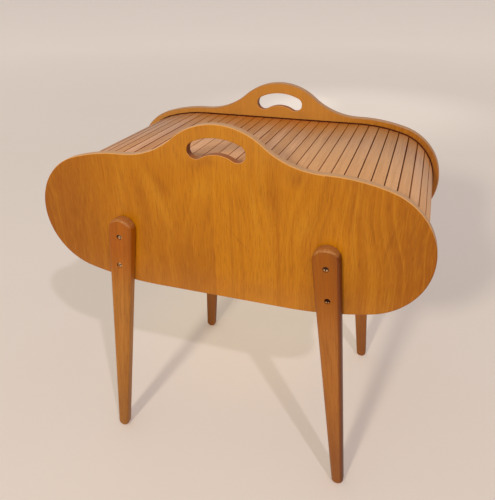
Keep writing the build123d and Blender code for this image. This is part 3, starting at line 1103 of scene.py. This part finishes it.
# %% Leg marks
def mark_leg(mesh, leg):
    """Keeps the leg's grain, its stain, and which way each point looks."""
    anchor_x, tilt = leg_place(leg)
    anchor = Vector((anchor_x, leg.y_side * outer_y, leg_anchor_z))
    upright = Matrix.Rotation(tilt, 3, "Y")
    # each leg was cut from another place in the plank
    shift = Vector((0.31 * anchor_x, 0.17 * leg.y_side, 0.9 * tilt))
    grain, facing = [], []
    for vertex in mesh.vertices:
        x, y, z = vertex.co
        grain.append(upright @ (vertex.co - anchor) + shift)
        normal = upright @ vertex.normal
        on_face = abs(abs(y) - outer_y - leg_thick_at(z)) < tolerance
        from_screw = min(math.hypot(x - at[0], z - at[1]) for at in screw_places(leg))
        in_bore = from_screw < bore_radius + tolerance and abs(y) > outer_y + tolerance
        # each leg scales the painted shade on its right side
        sideways = normal.x * (leg.side_dirt if normal.x > 0 else 1.0)
        facing.append((0, in_bore, 0) if on_face or in_bore else (sideways, 0, normal.z))
    keep(mesh, "grain_place", "FLOAT_VECTOR", grain)
    keep(mesh, "facing", "FLOAT_VECTOR", facing)
    keep(mesh, "stain", "FLOAT", [leg.stain] * len(grain))


for name, leg in legs.items():
    piece = leg_shell(name, leg)
    mark_leg(piece.data, leg)
    wear(piece, "case", name, slot="leg_wood")

# %% [markdown]
# ## Screw steel
# The screws are small slotted ones, countersunk. Their steel has gone dull, and brown in the slot
# and round the rim, partly with varnish and dirt and partly as painted shade. The top of each head
# carries a painted shadow of the bore's rim.

# %% Screw finish
pale_steel = linear(236, 202, 160)
brown_steel = linear(176, 126, 84)
slot_dirt_and_shade = linear(44, 20, 6)
head_top_shadow = linear(52, 18, 2)


def screw_finish():
    """Dull steel, brown in the slot, with a painted shadow from above by each screw's own share."""
    finish = Finish("screw_steel_finish", pale_steel)
    stain = finish.noise(finish.here, (600, 600, 600), 3.0, 0.6)
    finish.lay_where(stain, 0.4, 0.7, 1.0, brown_steel)
    # dark in the slot and round the rim, partly dirt and partly painted shade
    finish.lay_where(finish.attribute("head_depth", "Fac"), 0.05, 0.4, 1.0, slot_dirt_and_shade)
    # painted shadow of the bore's rim on the top of each head, by each screw's own share
    from_above = finish.spread(above_screw(finish), -0.0024, 0.0010)
    finish.lay(finish.times(finish.attribute("screw_dirt", "Fac"), from_above), head_top_shadow)
    return finish.done(
        Roughness=finish.spread(stain, 0.3, 0.7, 0.2, 0.35), Metallic=0.85,
        Normal=finish.bump(stain, 0.2, 0.1 * mm))


screw_steel = screw_finish()
print("screw steel ready")

# %% [markdown]
# ## Screws
# Eight equal screws are a job for Geometry Nodes: one pattern screw, points where the bores are,
# and a tree that sets a copy on each point. Every slot stopped at a different angle, which the
# points carry as an attribute. The back screws turn half round to face the other way.

# %% Screw head
slot_half = 0.55 * mm
slot_depth = 1.1 * mm
floor_radius = head_radius - 0.55 * mm
half_steps = 10


def half_disc(radius, height, low, half):
    """Edge of a disc on one side of the slot, from low off its middle; half is 0 or 1."""
    angle = math.asin(min(1.0, low / radius))
    points = []
    for step in range(half_steps + 1):
        at = math.pi * half + angle + (math.pi - 2 * angle) * step / half_steps
        points.append((radius * math.cos(at), radius * math.sin(at), height))
    return points


print(f"slot {2 * slot_half / mm:.1f} mm wide")

# %% Pattern screw
def pattern_screw():
    """A countersunk screw whose head's middle is the origin and whose axis is Z."""
    shell = Shell()
    for half in (0, 1):
        rings = [shell.ring(half_disc(radius, height, low, half)) for radius, height, low in (
            (head_radius - 1.0 * mm, 0.10 * mm, slot_half + 0.30 * mm),
            (head_radius - 0.35 * mm, -0.10 * mm, slot_half),
            (head_radius, -0.45 * mm, slot_half),
            (floor_radius, -slot_depth, slot_half),
        )]
        shell.wall(rings)
        shell.cap(rings[0])
        shell.cap(rings[-1])
    rings = [shell.ring([(x, y, height) for x, y in circle((0, 0), radius)]) for radius, height in (
        (floor_radius, -slot_depth),
        (shank_radius, -head_depth),
        (shank_radius, -22 * mm),
        (shank_radius * 0.8, -26.5 * mm),
        (shank_radius * 0.12, -28 * mm),
    )]
    shell.wall(rings)
    shell.cap(rings[0])
    shell.cap(rings[-1])
    screw = shell.done("pattern_screw", screw_steel)
    depths = [min(1.0, max(0.0, -vertex.co.z / slot_depth)) for vertex in screw.data.vertices]
    keep(screw.data, "head_depth", "FLOAT", depths)
    return screw


screw_pattern = pattern_screw()
print(f"pattern screw: {len(screw_pattern.data.polygons)} faces")

# %% [markdown]
# ## A tree that sets copies
# Both the screws and the slats are copies of a pattern, set on points. `Tree` starts a Geometry
# Nodes tree with named inputs, sets copies on points, and runs on a mesh.

# %% Tree helper
class Tree(Nodes):
    """A Geometry Nodes tree with named inputs."""

    def __init__(self, name):
        super().__init__(bpy.data.node_groups.new(name, "GeometryNodeTree"))
        self.tree.is_modifier = True
        self.sockets = {}
        self.entry = self.tree.nodes.new("NodeGroupInput")
        self.exit = self.tree.nodes.new("NodeGroupOutput")
        self.socket("Geometry", "OUTPUT", "Geometry")
        self.geometry = self.named("Geometry", "Geometry")

    def socket(self, name, way, kind):
        """A socket of the whole tree, of a kind such as Float, Int, Object or Material."""
        interface = self.tree.interface
        return interface.new_socket(name, in_out=way, socket_type="NodeSocket" + kind)

    def named(self, name, kind, default=None):
        """Adds a named input and returns where the tree reads it."""
        socket = self.socket(name, "INPUT", kind)
        if default is not None:
            socket.default_value = default
        self.sockets[name] = socket.identifier
        return self.entry.outputs[name]

    def copies(self, points, shape, rotation, material, scale=(1, 1, 1)):
        """Real copies of a pattern on points, turned and dressed."""
        pattern = self.add("GeometryNodeObjectInfo", "Geometry", {"Object": shape})
        inputs = {"Points": points, "Instance": pattern, "Rotation": rotation, "Scale": scale}
        copies = self.add("GeometryNodeInstanceOnPoints", 0, inputs)
        real = self.add("GeometryNodeRealizeInstances", 0, {"Geometry": copies})
        return self.add("GeometryNodeSetMaterial", 0, {"Geometry": real, "Material": material})

    def end(self, *geometries):
        """Sends out what the tree has made, joined where it is more than one thing."""
        made = geometries[0]
        if len(geometries) > 1:
            join = self.tree.nodes.new("GeometryNodeJoinGeometry")
            for geometry in geometries:
                self.put(geometry, join.inputs[0])
            made = join.outputs[0]
        self.put(made, self.exit.inputs[0])

    def grown(self, name, carrier_mesh, values):
        """Runs the tree on a mesh with these inputs and returns the result as a plain piece."""
        seed_object = shown(name + "_seed", carrier_mesh)
        modifier = seed_object.modifiers.new("grow", "NODES")
        modifier.node_group = self.tree
        for key, value in values.items():
            modifier[self.sockets[key]] = value
        seed_object.update_tag()
        bpy.context.view_layer.update()
        evaluated = seed_object.evaluated_get(bpy.context.evaluated_depsgraph_get())
        mesh = bpy.data.meshes.new_from_object(evaluated)
        mesh.name = name
        bpy.data.objects.remove(seed_object)
        return shown(name, mesh)


print("tree helper ready")

# %% Screw tree
screw_tree = Tree("set_screws")
screw_shape = screw_tree.named("Screw", "Object")
screw_size = screw_tree.named("Head Scale", "Float", 1.0)
screw_metal = screw_tree.named("Steel", "Material")
screw_turns = screw_tree.add("GeometryNodeInputNamedAttribute", "Attribute", {
    "Name": "screw_turn",
}, data_type="FLOAT_VECTOR")
screw_points = screw_tree.add("GeometryNodeMeshToPoints", "Points", {"Mesh": screw_tree.geometry})
screw_tree.end(screw_tree.copies(screw_points, screw_shape, screw_turns, screw_metal, screw_size))


def leg_screws(name, y_side):
    """The four screws of the front or back legs."""
    places, turns, shadow_shares = [], [], []
    face_out = Matrix.Rotation(-y_side * quarter, 3, "X")
    for leg in legs.values():
        if leg.y_side != y_side:
            continue
        for (x, z), slot_turn in zip(screw_places(leg), leg.slot_turns):
            places.append((x, y_side * (outer_y + leg_thick_at(z) - head_recess), z))
            turns.append((face_out @ Matrix.Rotation(math.radians(slot_turn), 3, "Z")).to_euler())
        shadow_shares += leg.screw_dirts
    mesh = drawn(name + "_places", places)
    keep(mesh, "screw_turn", "FLOAT_VECTOR", turns)
    keep(mesh, "screw_dirt", "FLOAT", shadow_shares)
    values = {"Screw": screw_pattern, "Head Scale": 1.0, "Steel": screw_steel}
    return screw_tree.grown(name, mesh, values)


for side_name, y_side in (("front", -1), ("back", 1)):
    piece = leg_screws(side_name + "_leg_screw_set", y_side)
    wear(piece, "case", side_name + "_leg_screws", slot="screw_steel")
bpy.data.objects.remove(screw_pattern)

# %% [markdown]
# ## Slat wood
# The slats are thin strips of bare-looking wood, pinkish tan, each cut from another place in the
# plank, so each has its own tone and its own stretch of the grain. Both hang on one random number,
# which each slat carries as the attribute `slat_tone`.

# %% Slat grain
slat_brown = linear(200, 137, 82)
slat_fibre_brown = linear(172, 112, 66)
slat_fibre_pale = linear(250, 202, 162)
slat_pore_brown = linear(96, 56, 32)
# a slat's tone by its random number
slat_tones = {
    0.0: linear(226, 167, 115), 0.35: linear(232, 174, 117),
    0.7: linear(242, 188, 139), 1.0: linear(250, 198, 158),
}


def lay_slat_grain(finish, grain_at):
    """Each slat's own tone and grain; returns its fibres and pores."""
    tone = finish.attribute("slat_tone", "Fac")
    # each slat was cut from another place in the plank
    shift = finish.join(finish.times(tone, 3.7), finish.times(tone, 11.3), finish.times(tone, 5.9))
    place = finish.vectors("ADD", grain_at, shift)
    finish.colour = finish.add("ShaderNodeValToRGB", "Color", {"Fac": tone})
    ramp = finish.colour.node.color_ramp.elements
    ramp[0].color = slat_tones[0.0]
    ramp[1].color = slat_tones[1.0]
    for at in (0.35, 0.7):
        ramp.new(at).color = slat_tones[at]
    band = finish.noise(place, (160, 5, 160), 2.0, 0.5, 0.3)
    finish.lay_where(band, 0.38, 0.68, 0.5, slat_brown)
    fibre = finish.noise(place, (1300, 28, 1300), 3.0, 0.6)
    finish.lay_where(fibre, 0.45, 0.75, 0.5, slat_fibre_brown)
    finish.lay_where(fibre, 0.45, 0.28, 0.3, slat_fibre_pale)
    pore = finish.pores(place, (1900, 120, 1900), 0.65)
    finish.lay(finish.times(pore, 0.4), slat_pore_brown)
    return fibre, pore


print(f"{len(slat_tones)} slat tones")

# %% [markdown]
# ## Wear and painted light of the slats
# Near the back, above all in the middle, the slats carry painted amber light bounced off the
# panels. They are greyer at the left end. At the right front, and where they show through the hand
# hole, painted light lifts the hump's shadow. Stain and painted shade darken their flanks, and
# painted shade lines their ends.

# %% Slat finish
flank_stain_and_shade = linear(132, 40, 0)
painted_amber_bounce = linear(242, 156, 18)
slat_grey = linear(180, 138, 116)
slat_painted_light = linear(255, 205, 150)
slat_hole_light = linear(255, 200, 148)
slat_end_shade = linear(112, 36, 0)


def lay_slat_wear_and_light(finish, grain_at):
    """Tints by place on the carrier; returns where stain and painted shade have taken the gloss."""
    across, along, _ = finish.parts(grain_at)
    out_x = finish.size(finish.x)
    # dark flanks: stain and painted shade in the joints between slats
    rim_start = finish.spread(finish.x, -0.20, 0.0, 0.0070, 0.0072)
    flank = finish.spread(finish.size(across), rim_start, 0.0079)
    finish.lay(flank, flank_stain_and_shade)
    # painted amber light bounced off the panels, near the back and most in the middle
    amber_bounce = finish.times(
        finish.spread(finish.y, 0.03, 0.13, 0.0, 0.72), finish.spread(out_x, 0.25, 0.12))
    amber_bounce = finish.math("MAXIMUM", amber_bounce, finish.spread(finish.y, 0.06, 0.13, 0.0, 0.45))
    finish.lay(amber_bounce, painted_amber_bounce)
    finish.lay_where(finish.x, -0.15, -0.22, 0.30, slat_grey)
    # painted light at the right front that lifts the hump's shadow
    front_light_share = finish.spread(finish.y, 0.10, -0.02, 0.0, 0.36)
    finish.lay(finish.times(front_light_share, finish.spread(finish.x, 0.0, 0.10)), slat_painted_light)
    # painted light on the slats seen through the hand hole, lifting the hump's shadow
    from_hole_light = finish.length(finish.stretch(finish.here, (1, 1, 0), (0.06, 0.055, 0)))
    finish.lay(finish.spread(from_hole_light, 0.03, 0.085, 0.5, 0.0), slat_hole_light)
    # painted shade along the slats' ends, wider towards both ends of the drum
    reach = finish.spread(out_x, 0.22, 0.28, 0.1375, 0.1300)
    end_shade = finish.spread(finish.size(along), reach, 0.1420)
    finish.lay(end_shade, slat_end_shade)
    return finish.math("MAXIMUM", flank, end_shade)


def slat_finish():
    """Thinly varnished wood of the slats."""
    finish = Finish("slat_wood_finish", slat_brown)
    grain_at = finish.attribute("grain_place", "Vector")
    fibre, pore = lay_slat_grain(finish, grain_at)
    gloss = finish.minus(1.0, lay_slat_wear_and_light(finish, grain_at))
    return finish.done(
        Roughness=0.55, Coat_Roughness=0.4, Normal=finish.grain(fibre, 0.4, pore, 0.25),
        Specular_IOR_Level=finish.times(gloss, 0.5), Coat_Weight=finish.times(gloss, 0.12))


slat_wood = slat_finish()
print("slat wood ready")

# %% [markdown]
# ## Canvas
# Behind the slats a strip of canvas, glued on, holds the lid together and keeps the light out of
# the joints. Two waves across each other give it its weave.

# %% Canvas finish
def canvas_finish():
    """Brown canvas in a plain weave."""
    finish = Finish("canvas_finish", linear(84, 34, 4))
    inputs = {
        "Vector": finish.attribute("grain_place", "Vector"), "Scale": 150.0, "Distortion": 0.6,
        "Detail": 1.0,
    }
    threads = [
        finish.add("ShaderNodeTexWave", "Fac", inputs, bands_direction=axis) for axis in "XY"]
    weave = finish.times(*threads)
    finish.lay(weave, linear(112, 54, 14))
    return finish.done(
        Roughness=0.9, Specular_IOR_Level=0.1, Normal=finish.bump(weave, 0.5, 0.3 * mm))


canvas = canvas_finish()
print("canvas ready")

# %% [markdown]
# ## Slats
# Each slat is a flat strip with softened arrises, leaning flanks that leave room to bend round the
# ends, and a thin tongue at each end that runs in the groove. We shape one pattern slat and one
# pattern strip of canvas, both lying along Y with their outer side up.

# %% Pattern slat
slat_pitch = 16.67 * mm
slat_half_width = 7.92 * mm
slat_half_thick = 3.5 * mm
slat_flank = 0.67 * mm
slat_arris = 0.55 * mm
slat_crown = 0.08 * mm
slat_half_body = 142.9 * mm
slat_half_tip = 148.9 * mm
end_ease = 0.25 * mm
tongue_half_width = 3.5 * mm
tongue_half_thick = 1.5 * mm
tongue_ease = 0.5 * mm


def slat_section(inset):
    """Section of a slat (across, up), its outer arrises rounded, shrunk by inset."""
    top = slat_half_thick - inset
    reach = slat_half_width - inset
    right = [(reach - slat_flank, -top)]
    for index in range(5):
        angle = quarter * index / 4
        across = reach - slat_arris * (1 - math.cos(angle))
        right.append((across, top - slat_arris * (1 - math.sin(angle))))
    left = [(-across, up) for across, up in reversed(right)]
    return [*right, (0.0, top + slat_crown), *left]


def pattern_slat():
    """One slat with a tongue at each end."""
    shell = Shell()
    near_end = slat_half_body - end_ease
    rings = [shell.slice(slat_section(inset), y) for y, inset in (
        (-slat_half_body, end_ease), (-near_end, 0.0), (near_end, 0.0), (slat_half_body, end_ease),
    )]
    shell.wall(rings)
    for end, ring in ((-1, rings[0]), (1, rings[-1])):
        tongue = []
        for y, inset in (
            (slat_half_body, 0.0), (slat_half_tip - tongue_ease, 0.0), (slat_half_tip, tongue_ease),
        ):
            wide, thick = tongue_half_width - inset, tongue_half_thick - inset
            loop = [(wide * across, thick * up) for across, up in square]
            tongue.append(shell.slice(loop, end * y))
        shell.wall(tongue, smooth=False)
        shell.cap(tongue[-1])
        shell.cap(ring, tongue[0])
    return shell.done("pattern_slat", slat_wood)


slat_pattern = pattern_slat()
print(f"pattern slat: {len(slat_pattern.data.polygons)} faces")

# %% Pattern canvas
canvas_ease = 0.5 * mm
canvas_thick = 0.5 * mm
canvas_half_length = 138 * mm


def pattern_canvas():
    """One strip of canvas behind a slat."""
    shell = Shell()
    half = slat_pitch / 2 - canvas_ease
    top = -slat_half_thick
    bottom = top - canvas_thick
    section = [(-half, bottom), (half, bottom), (half, top), (-half, top)]
    ends = [shell.slice(section, y) for y in (-canvas_half_length, canvas_half_length)]
    shell.wall(ends, smooth=False)
    shell.cap(ends[0])
    shell.cap(ends[1])
    return shell.done("pattern_canvas", canvas)


canvas_pattern = pattern_canvas()
# each point keeps its place on the pattern, so that the grain goes with the slat
for pattern in (slat_pattern, canvas_pattern):
    places = [vertex.co.copy() for vertex in pattern.data.vertices]
    keep(pattern.data, "grain_place", "FLOAT_VECTOR", places)
print(f"pattern canvas: {len(canvas_pattern.data.polygons)} faces")

# %% [markdown]
# ## Track
# Both lids follow one line: flat along the top, round the end, and back along the belly. We draw
# that line once for each side as a mesh of short edges that a tree can turn into a curve.

# %% Track
track_step = 1 * mm
track_length = 620 * mm
track_lead = 20
track_top_z = panel_top_z - track_inset
track_bottom_z = panel_bottom_z + track_inset

# arcs in their order: centre, body radius, turn from upright where the arc starts, sweep
track_arcs = [
    (shoulder_centre, shoulder_radius, 0.0, shoulder_angle),
    (end_centre, end_radius, shoulder_angle, end_sweep),
    (belly_centre, belly_radius, math.pi - belly_angle, belly_angle),
]


def track_point(length):
    """Point (x, z) of the track at a length from the top's middle."""
    if length <= shoulder_x:
        return (length, track_top_z)
    length -= shoulder_x
    for (centre_x, centre_z), radius, start, sweep in track_arcs:
        reach = radius - track_inset
        if length <= reach * sweep:
            turn = start + length / reach
            return (centre_x + reach * math.sin(turn), centre_z + reach * math.cos(turn))
        length -= reach * sweep
    return (belly_x - length, track_bottom_z)


def track_mesh(name, side):
    """Track as short edges, from track_lead steps before the middle; side is 1 to the right."""
    steps = range(-track_lead, int(track_length / track_step))
    points = []
    for index in steps:
        x, z = track_point(index * track_step)
        points.append((side * x, 0.0, z))
    return drawn(name, points, [(index, index + 1) for index in range(len(points) - 1)])


tracks = {"left": track_mesh("left_track", -1), "right": track_mesh("right_track", 1)}
print(f"track turns {math.degrees(end_sweep):.0f} degrees round the end")

# %% [markdown]
# ## Lid tree
# The tree turns the track into a curve and sets a slat at every pitch along it, laid along the
# curve's direction. A random number with a fixed seed gives each slat its tone, and a tiny lean
# that hand-laid slats have. Each CAD body gets its own run of the tree.

# %% Lid tree inputs
slat_lean = math.radians(0.5)

lid_tree = Tree("lay_slats")
slat_shape = lid_tree.named("Slat", "Object")
canvas_shape = lid_tree.named("Canvas Strip", "Object")
first_slat = lid_tree.named("First Slat", "Int", 0)
slat_count = lid_tree.named("Slat Count", "Int", 1)
pitch_input = lid_tree.named("Pitch", "Float", slat_pitch)
start_input = lid_tree.named("Start", "Float", 0.0)
side_input = lid_tree.named("Side", "Float", 1.0)
lean_input = lid_tree.named("Lean", "Float", slat_lean)
tone_seed = lid_tree.named("Seed", "Int", 7)
wood_input = lid_tree.named("Wood", "Material")
cloth_input = lid_tree.named("Cloth", "Material")
print(f"{len(lid_tree.sockets)} inputs")

# %% Lid tree: places along the track
slat_points = lid_tree.add("GeometryNodePoints", 0, {"Count": slat_count})
point_index = lid_tree.add("GeometryNodeInputIndex", 0)
slat_number = lid_tree.plus(point_index, first_slat)
slat_along = lid_tree.times(lid_tree.plus(slat_number, 0.5), pitch_input)
slat_along = lid_tree.plus(slat_along, start_input)
track_curve = lid_tree.add("GeometryNodeMeshToCurve", "Curve", {"Mesh": lid_tree.geometry})
track_sample = lid_tree.add("GeometryNodeSampleCurve", None, {
    "Curves": track_curve, "Length": slat_along,
}, mode="LENGTH", use_all_curves=True)
slats_placed = lid_tree.add("GeometryNodeSetPosition", 0, {
    "Geometry": slat_points, "Position": track_sample["Position"],
})
print("a place for each slat")

# %% Lid tree: turns and tones
slat_across = lid_tree.add("ShaderNodeVectorMath", 0, {
    0: track_sample["Tangent"], "Scale": side_input,
}, operation="SCALE")
slat_turn = lid_tree.add(
    "FunctionNodeAlignRotationToVector", 0, {"Vector": slat_across}, axis="X", pivot_axis="Y")
random_lean = lid_tree.add("FunctionNodeRandomValue", 1, {
    "Min": lid_tree.times(lean_input, -1.0), "Max": lean_input,
    "ID": slat_number, "Seed": tone_seed,
}, data_type="FLOAT")
lean_angles = lid_tree.join(0.0, random_lean, 0.0)
lean_turn = lid_tree.add("FunctionNodeEulerToRotation", 0, {"Euler": lean_angles})
slat_rotation = lid_tree.add("FunctionNodeRotateRotation", 0, {
    "Rotation": slat_turn, "Rotate By": lean_turn,
}, rotation_space="LOCAL")
random_tone = lid_tree.add(
    "FunctionNodeRandomValue", 1, {"ID": slat_number, "Seed": tone_seed}, data_type="FLOAT")
toned = lid_tree.add("GeometryNodeStoreNamedAttribute", 0, {
    "Geometry": slats_placed, "Name": "slat_tone", "Value": random_tone,
}, data_type="FLOAT", domain="POINT")
lid_tree.end(
    lid_tree.copies(toned, slat_shape, slat_rotation, wood_input),
    lid_tree.copies(toned, canvas_shape, slat_turn, cloth_input))
print(f"lid tree: {len(lid_tree.tree.nodes)} nodes")

# %% Lay the slats
meeting_x = 6.8 * mm
slats_per_lid = 22
end_slats = {"left": range(13, 18), "right": range(12, 17)}
lead_slats = {"left": range(0, 2), "right": range(0, 1)}


def lay(side_name, numbers, body, replaced, seed):
    """Slats of one body, from the lid tree."""
    side = 1 if side_name == "right" else -1
    values = {
        "Slat": slat_pattern, "Canvas Strip": canvas_pattern, "First Slat": numbers[0],
        "Slat Count": len(numbers), "Pitch": slat_pitch,
        "Start": side * meeting_x + track_lead * track_step, "Side": float(side),
        "Lean": slat_lean, "Seed": seed, "Wood": slat_wood, "Cloth": canvas,
    }
    name = f"{side_name}_slats_{numbers[0] + 1:02d}_wood"
    wear(lid_tree.grown(name, tracks[side_name], values), body, *replaced, slot="slat_wood")


for side_name, seed in (("left", 7), ("right", 23)):
    lead = lead_slats[side_name]
    ends = end_slats[side_name]
    lead_nodes = [f"{side_name}_slat_{number + 1:02d}" for number in lead]
    lay(side_name, lead, f"{side_name}_lid_lead", lead_nodes, seed)
    lay(side_name, ends, f"{side_name}_end_slats", [f"{side_name}_end_slats"], seed)
    for number in range(slats_per_lid):
        if number not in lead and number not in ends:
            node_name = f"{side_name}_slat_{number + 1:02d}"
            lay(side_name, range(number, number + 1), node_name, [node_name], seed)
bpy.data.objects.remove(slat_pattern)
bpy.data.objects.remove(canvas_pattern)

# %% [markdown]
# ## Inner wood
# Behind the lids the wood was never varnished: the bin and the tray are pale beech, with short
# brown flecks along the grain and a little grey where hands have been.

# %% Inner wood finish
inner_fibre_brown = linear(150, 110, 70)
inner_fleck_brown = linear(140, 90, 50)
hand_grey = linear(130, 110, 88)


def plain_wood(name, pale, dark, fleck_share):
    """Unvarnished wood whose grain runs along the third axis of the grain place."""
    finish = Finish(name, pale)
    grain_at = finish.attribute("grain_place", "Vector")
    band = finish.noise(grain_at, (60, 60, 2.5), 2.0, 0.5, 0.4)
    finish.lay_where(band, 0.3, 0.7, 1.0, dark)
    fibre = finish.noise(grain_at, (900, 900, 30), 3.0, 0.6)
    finish.lay_where(fibre, 0.3, 0.75, 0.2, inner_fibre_brown)
    fleck = finish.pores(grain_at, (1100, 1100, 240), 0.64)
    finish.lay(finish.times(fleck, fleck_share), inner_fleck_brown)
    soil = finish.noise(finish.here, (14, 14, 14), 3.0)
    finish.lay_where(soil, 0.5, 0.8, 0.25, hand_grey)
    return finish.done(Roughness=0.62, Normal=finish.grain(fibre, 0.4, fleck, 0.25))


inner_wood = plain_wood("inner_wood_finish", linear(205, 168, 122), linear(190, 148, 100), 0.5)
tray_wood = plain_wood("tray_wood_finish", linear(212, 178, 134), linear(198, 160, 114), 0.45)
print("inner wood ready")

# %% [markdown]
# ## Boards of the bin and the tray
# These boards are plain, and the frame already has their shape. We copy each one, merge its loose
# triangles into clean faces, and plane a small round on every edge, which is all that tells a real
# board from a drawn one.

# %% Boards
board_arris = 0.8 * mm


def planed(node_name, material):
    """A copy of a frame board with softened edges and its grain along its longest side."""
    shape = bmesh.new()
    shape.from_mesh(nodes[node_name].data)
    bmesh.ops.remove_doubles(shape, verts=shape.verts, dist=0.01 * mm)
    bmesh.ops.dissolve_limit(
        shape, angle_limit=math.radians(1), verts=shape.verts, edges=shape.edges)
    bmesh.ops.recalc_face_normals(shape, faces=shape.faces)
    bmesh.ops.bevel(
        shape, geom=shape.edges[:], offset=board_arris, segments=2, profile=0.5, affect="EDGES")
    mesh = bpy.data.meshes.new(node_name + "_board")
    shape.to_mesh(mesh)
    shape.free()
    mesh.materials.append(material)
    low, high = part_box(node_name)
    sides = sorted(range(3), key=lambda axis: high[axis] - low[axis])
    grain = [[vertex.co[axis] for axis in sides] for vertex in mesh.vertices]
    keep(mesh, "grain_place", "FLOAT_VECTOR", grain)
    return shown(node_name + "_board", mesh)


bin_boards = (
    "floor_board", "left_end_board", "right_end_board", "front_tray_runner", "back_tray_runner",
    "left_stop_rail", "right_stop_rail",
)
tray_boards = (
    "tray_front", "tray_back", "tray_left", "tray_right", "tray_floor",
    "tray_long_divider", "tray_short_divider",
)
for node_name in bin_boards:
    wear(planed(node_name, inner_wood), "case", node_name, slot="inner_wood")
for node_name in tray_boards:
    wear(planed(node_name, tray_wood), "tray", node_name, slot="tray_wood")
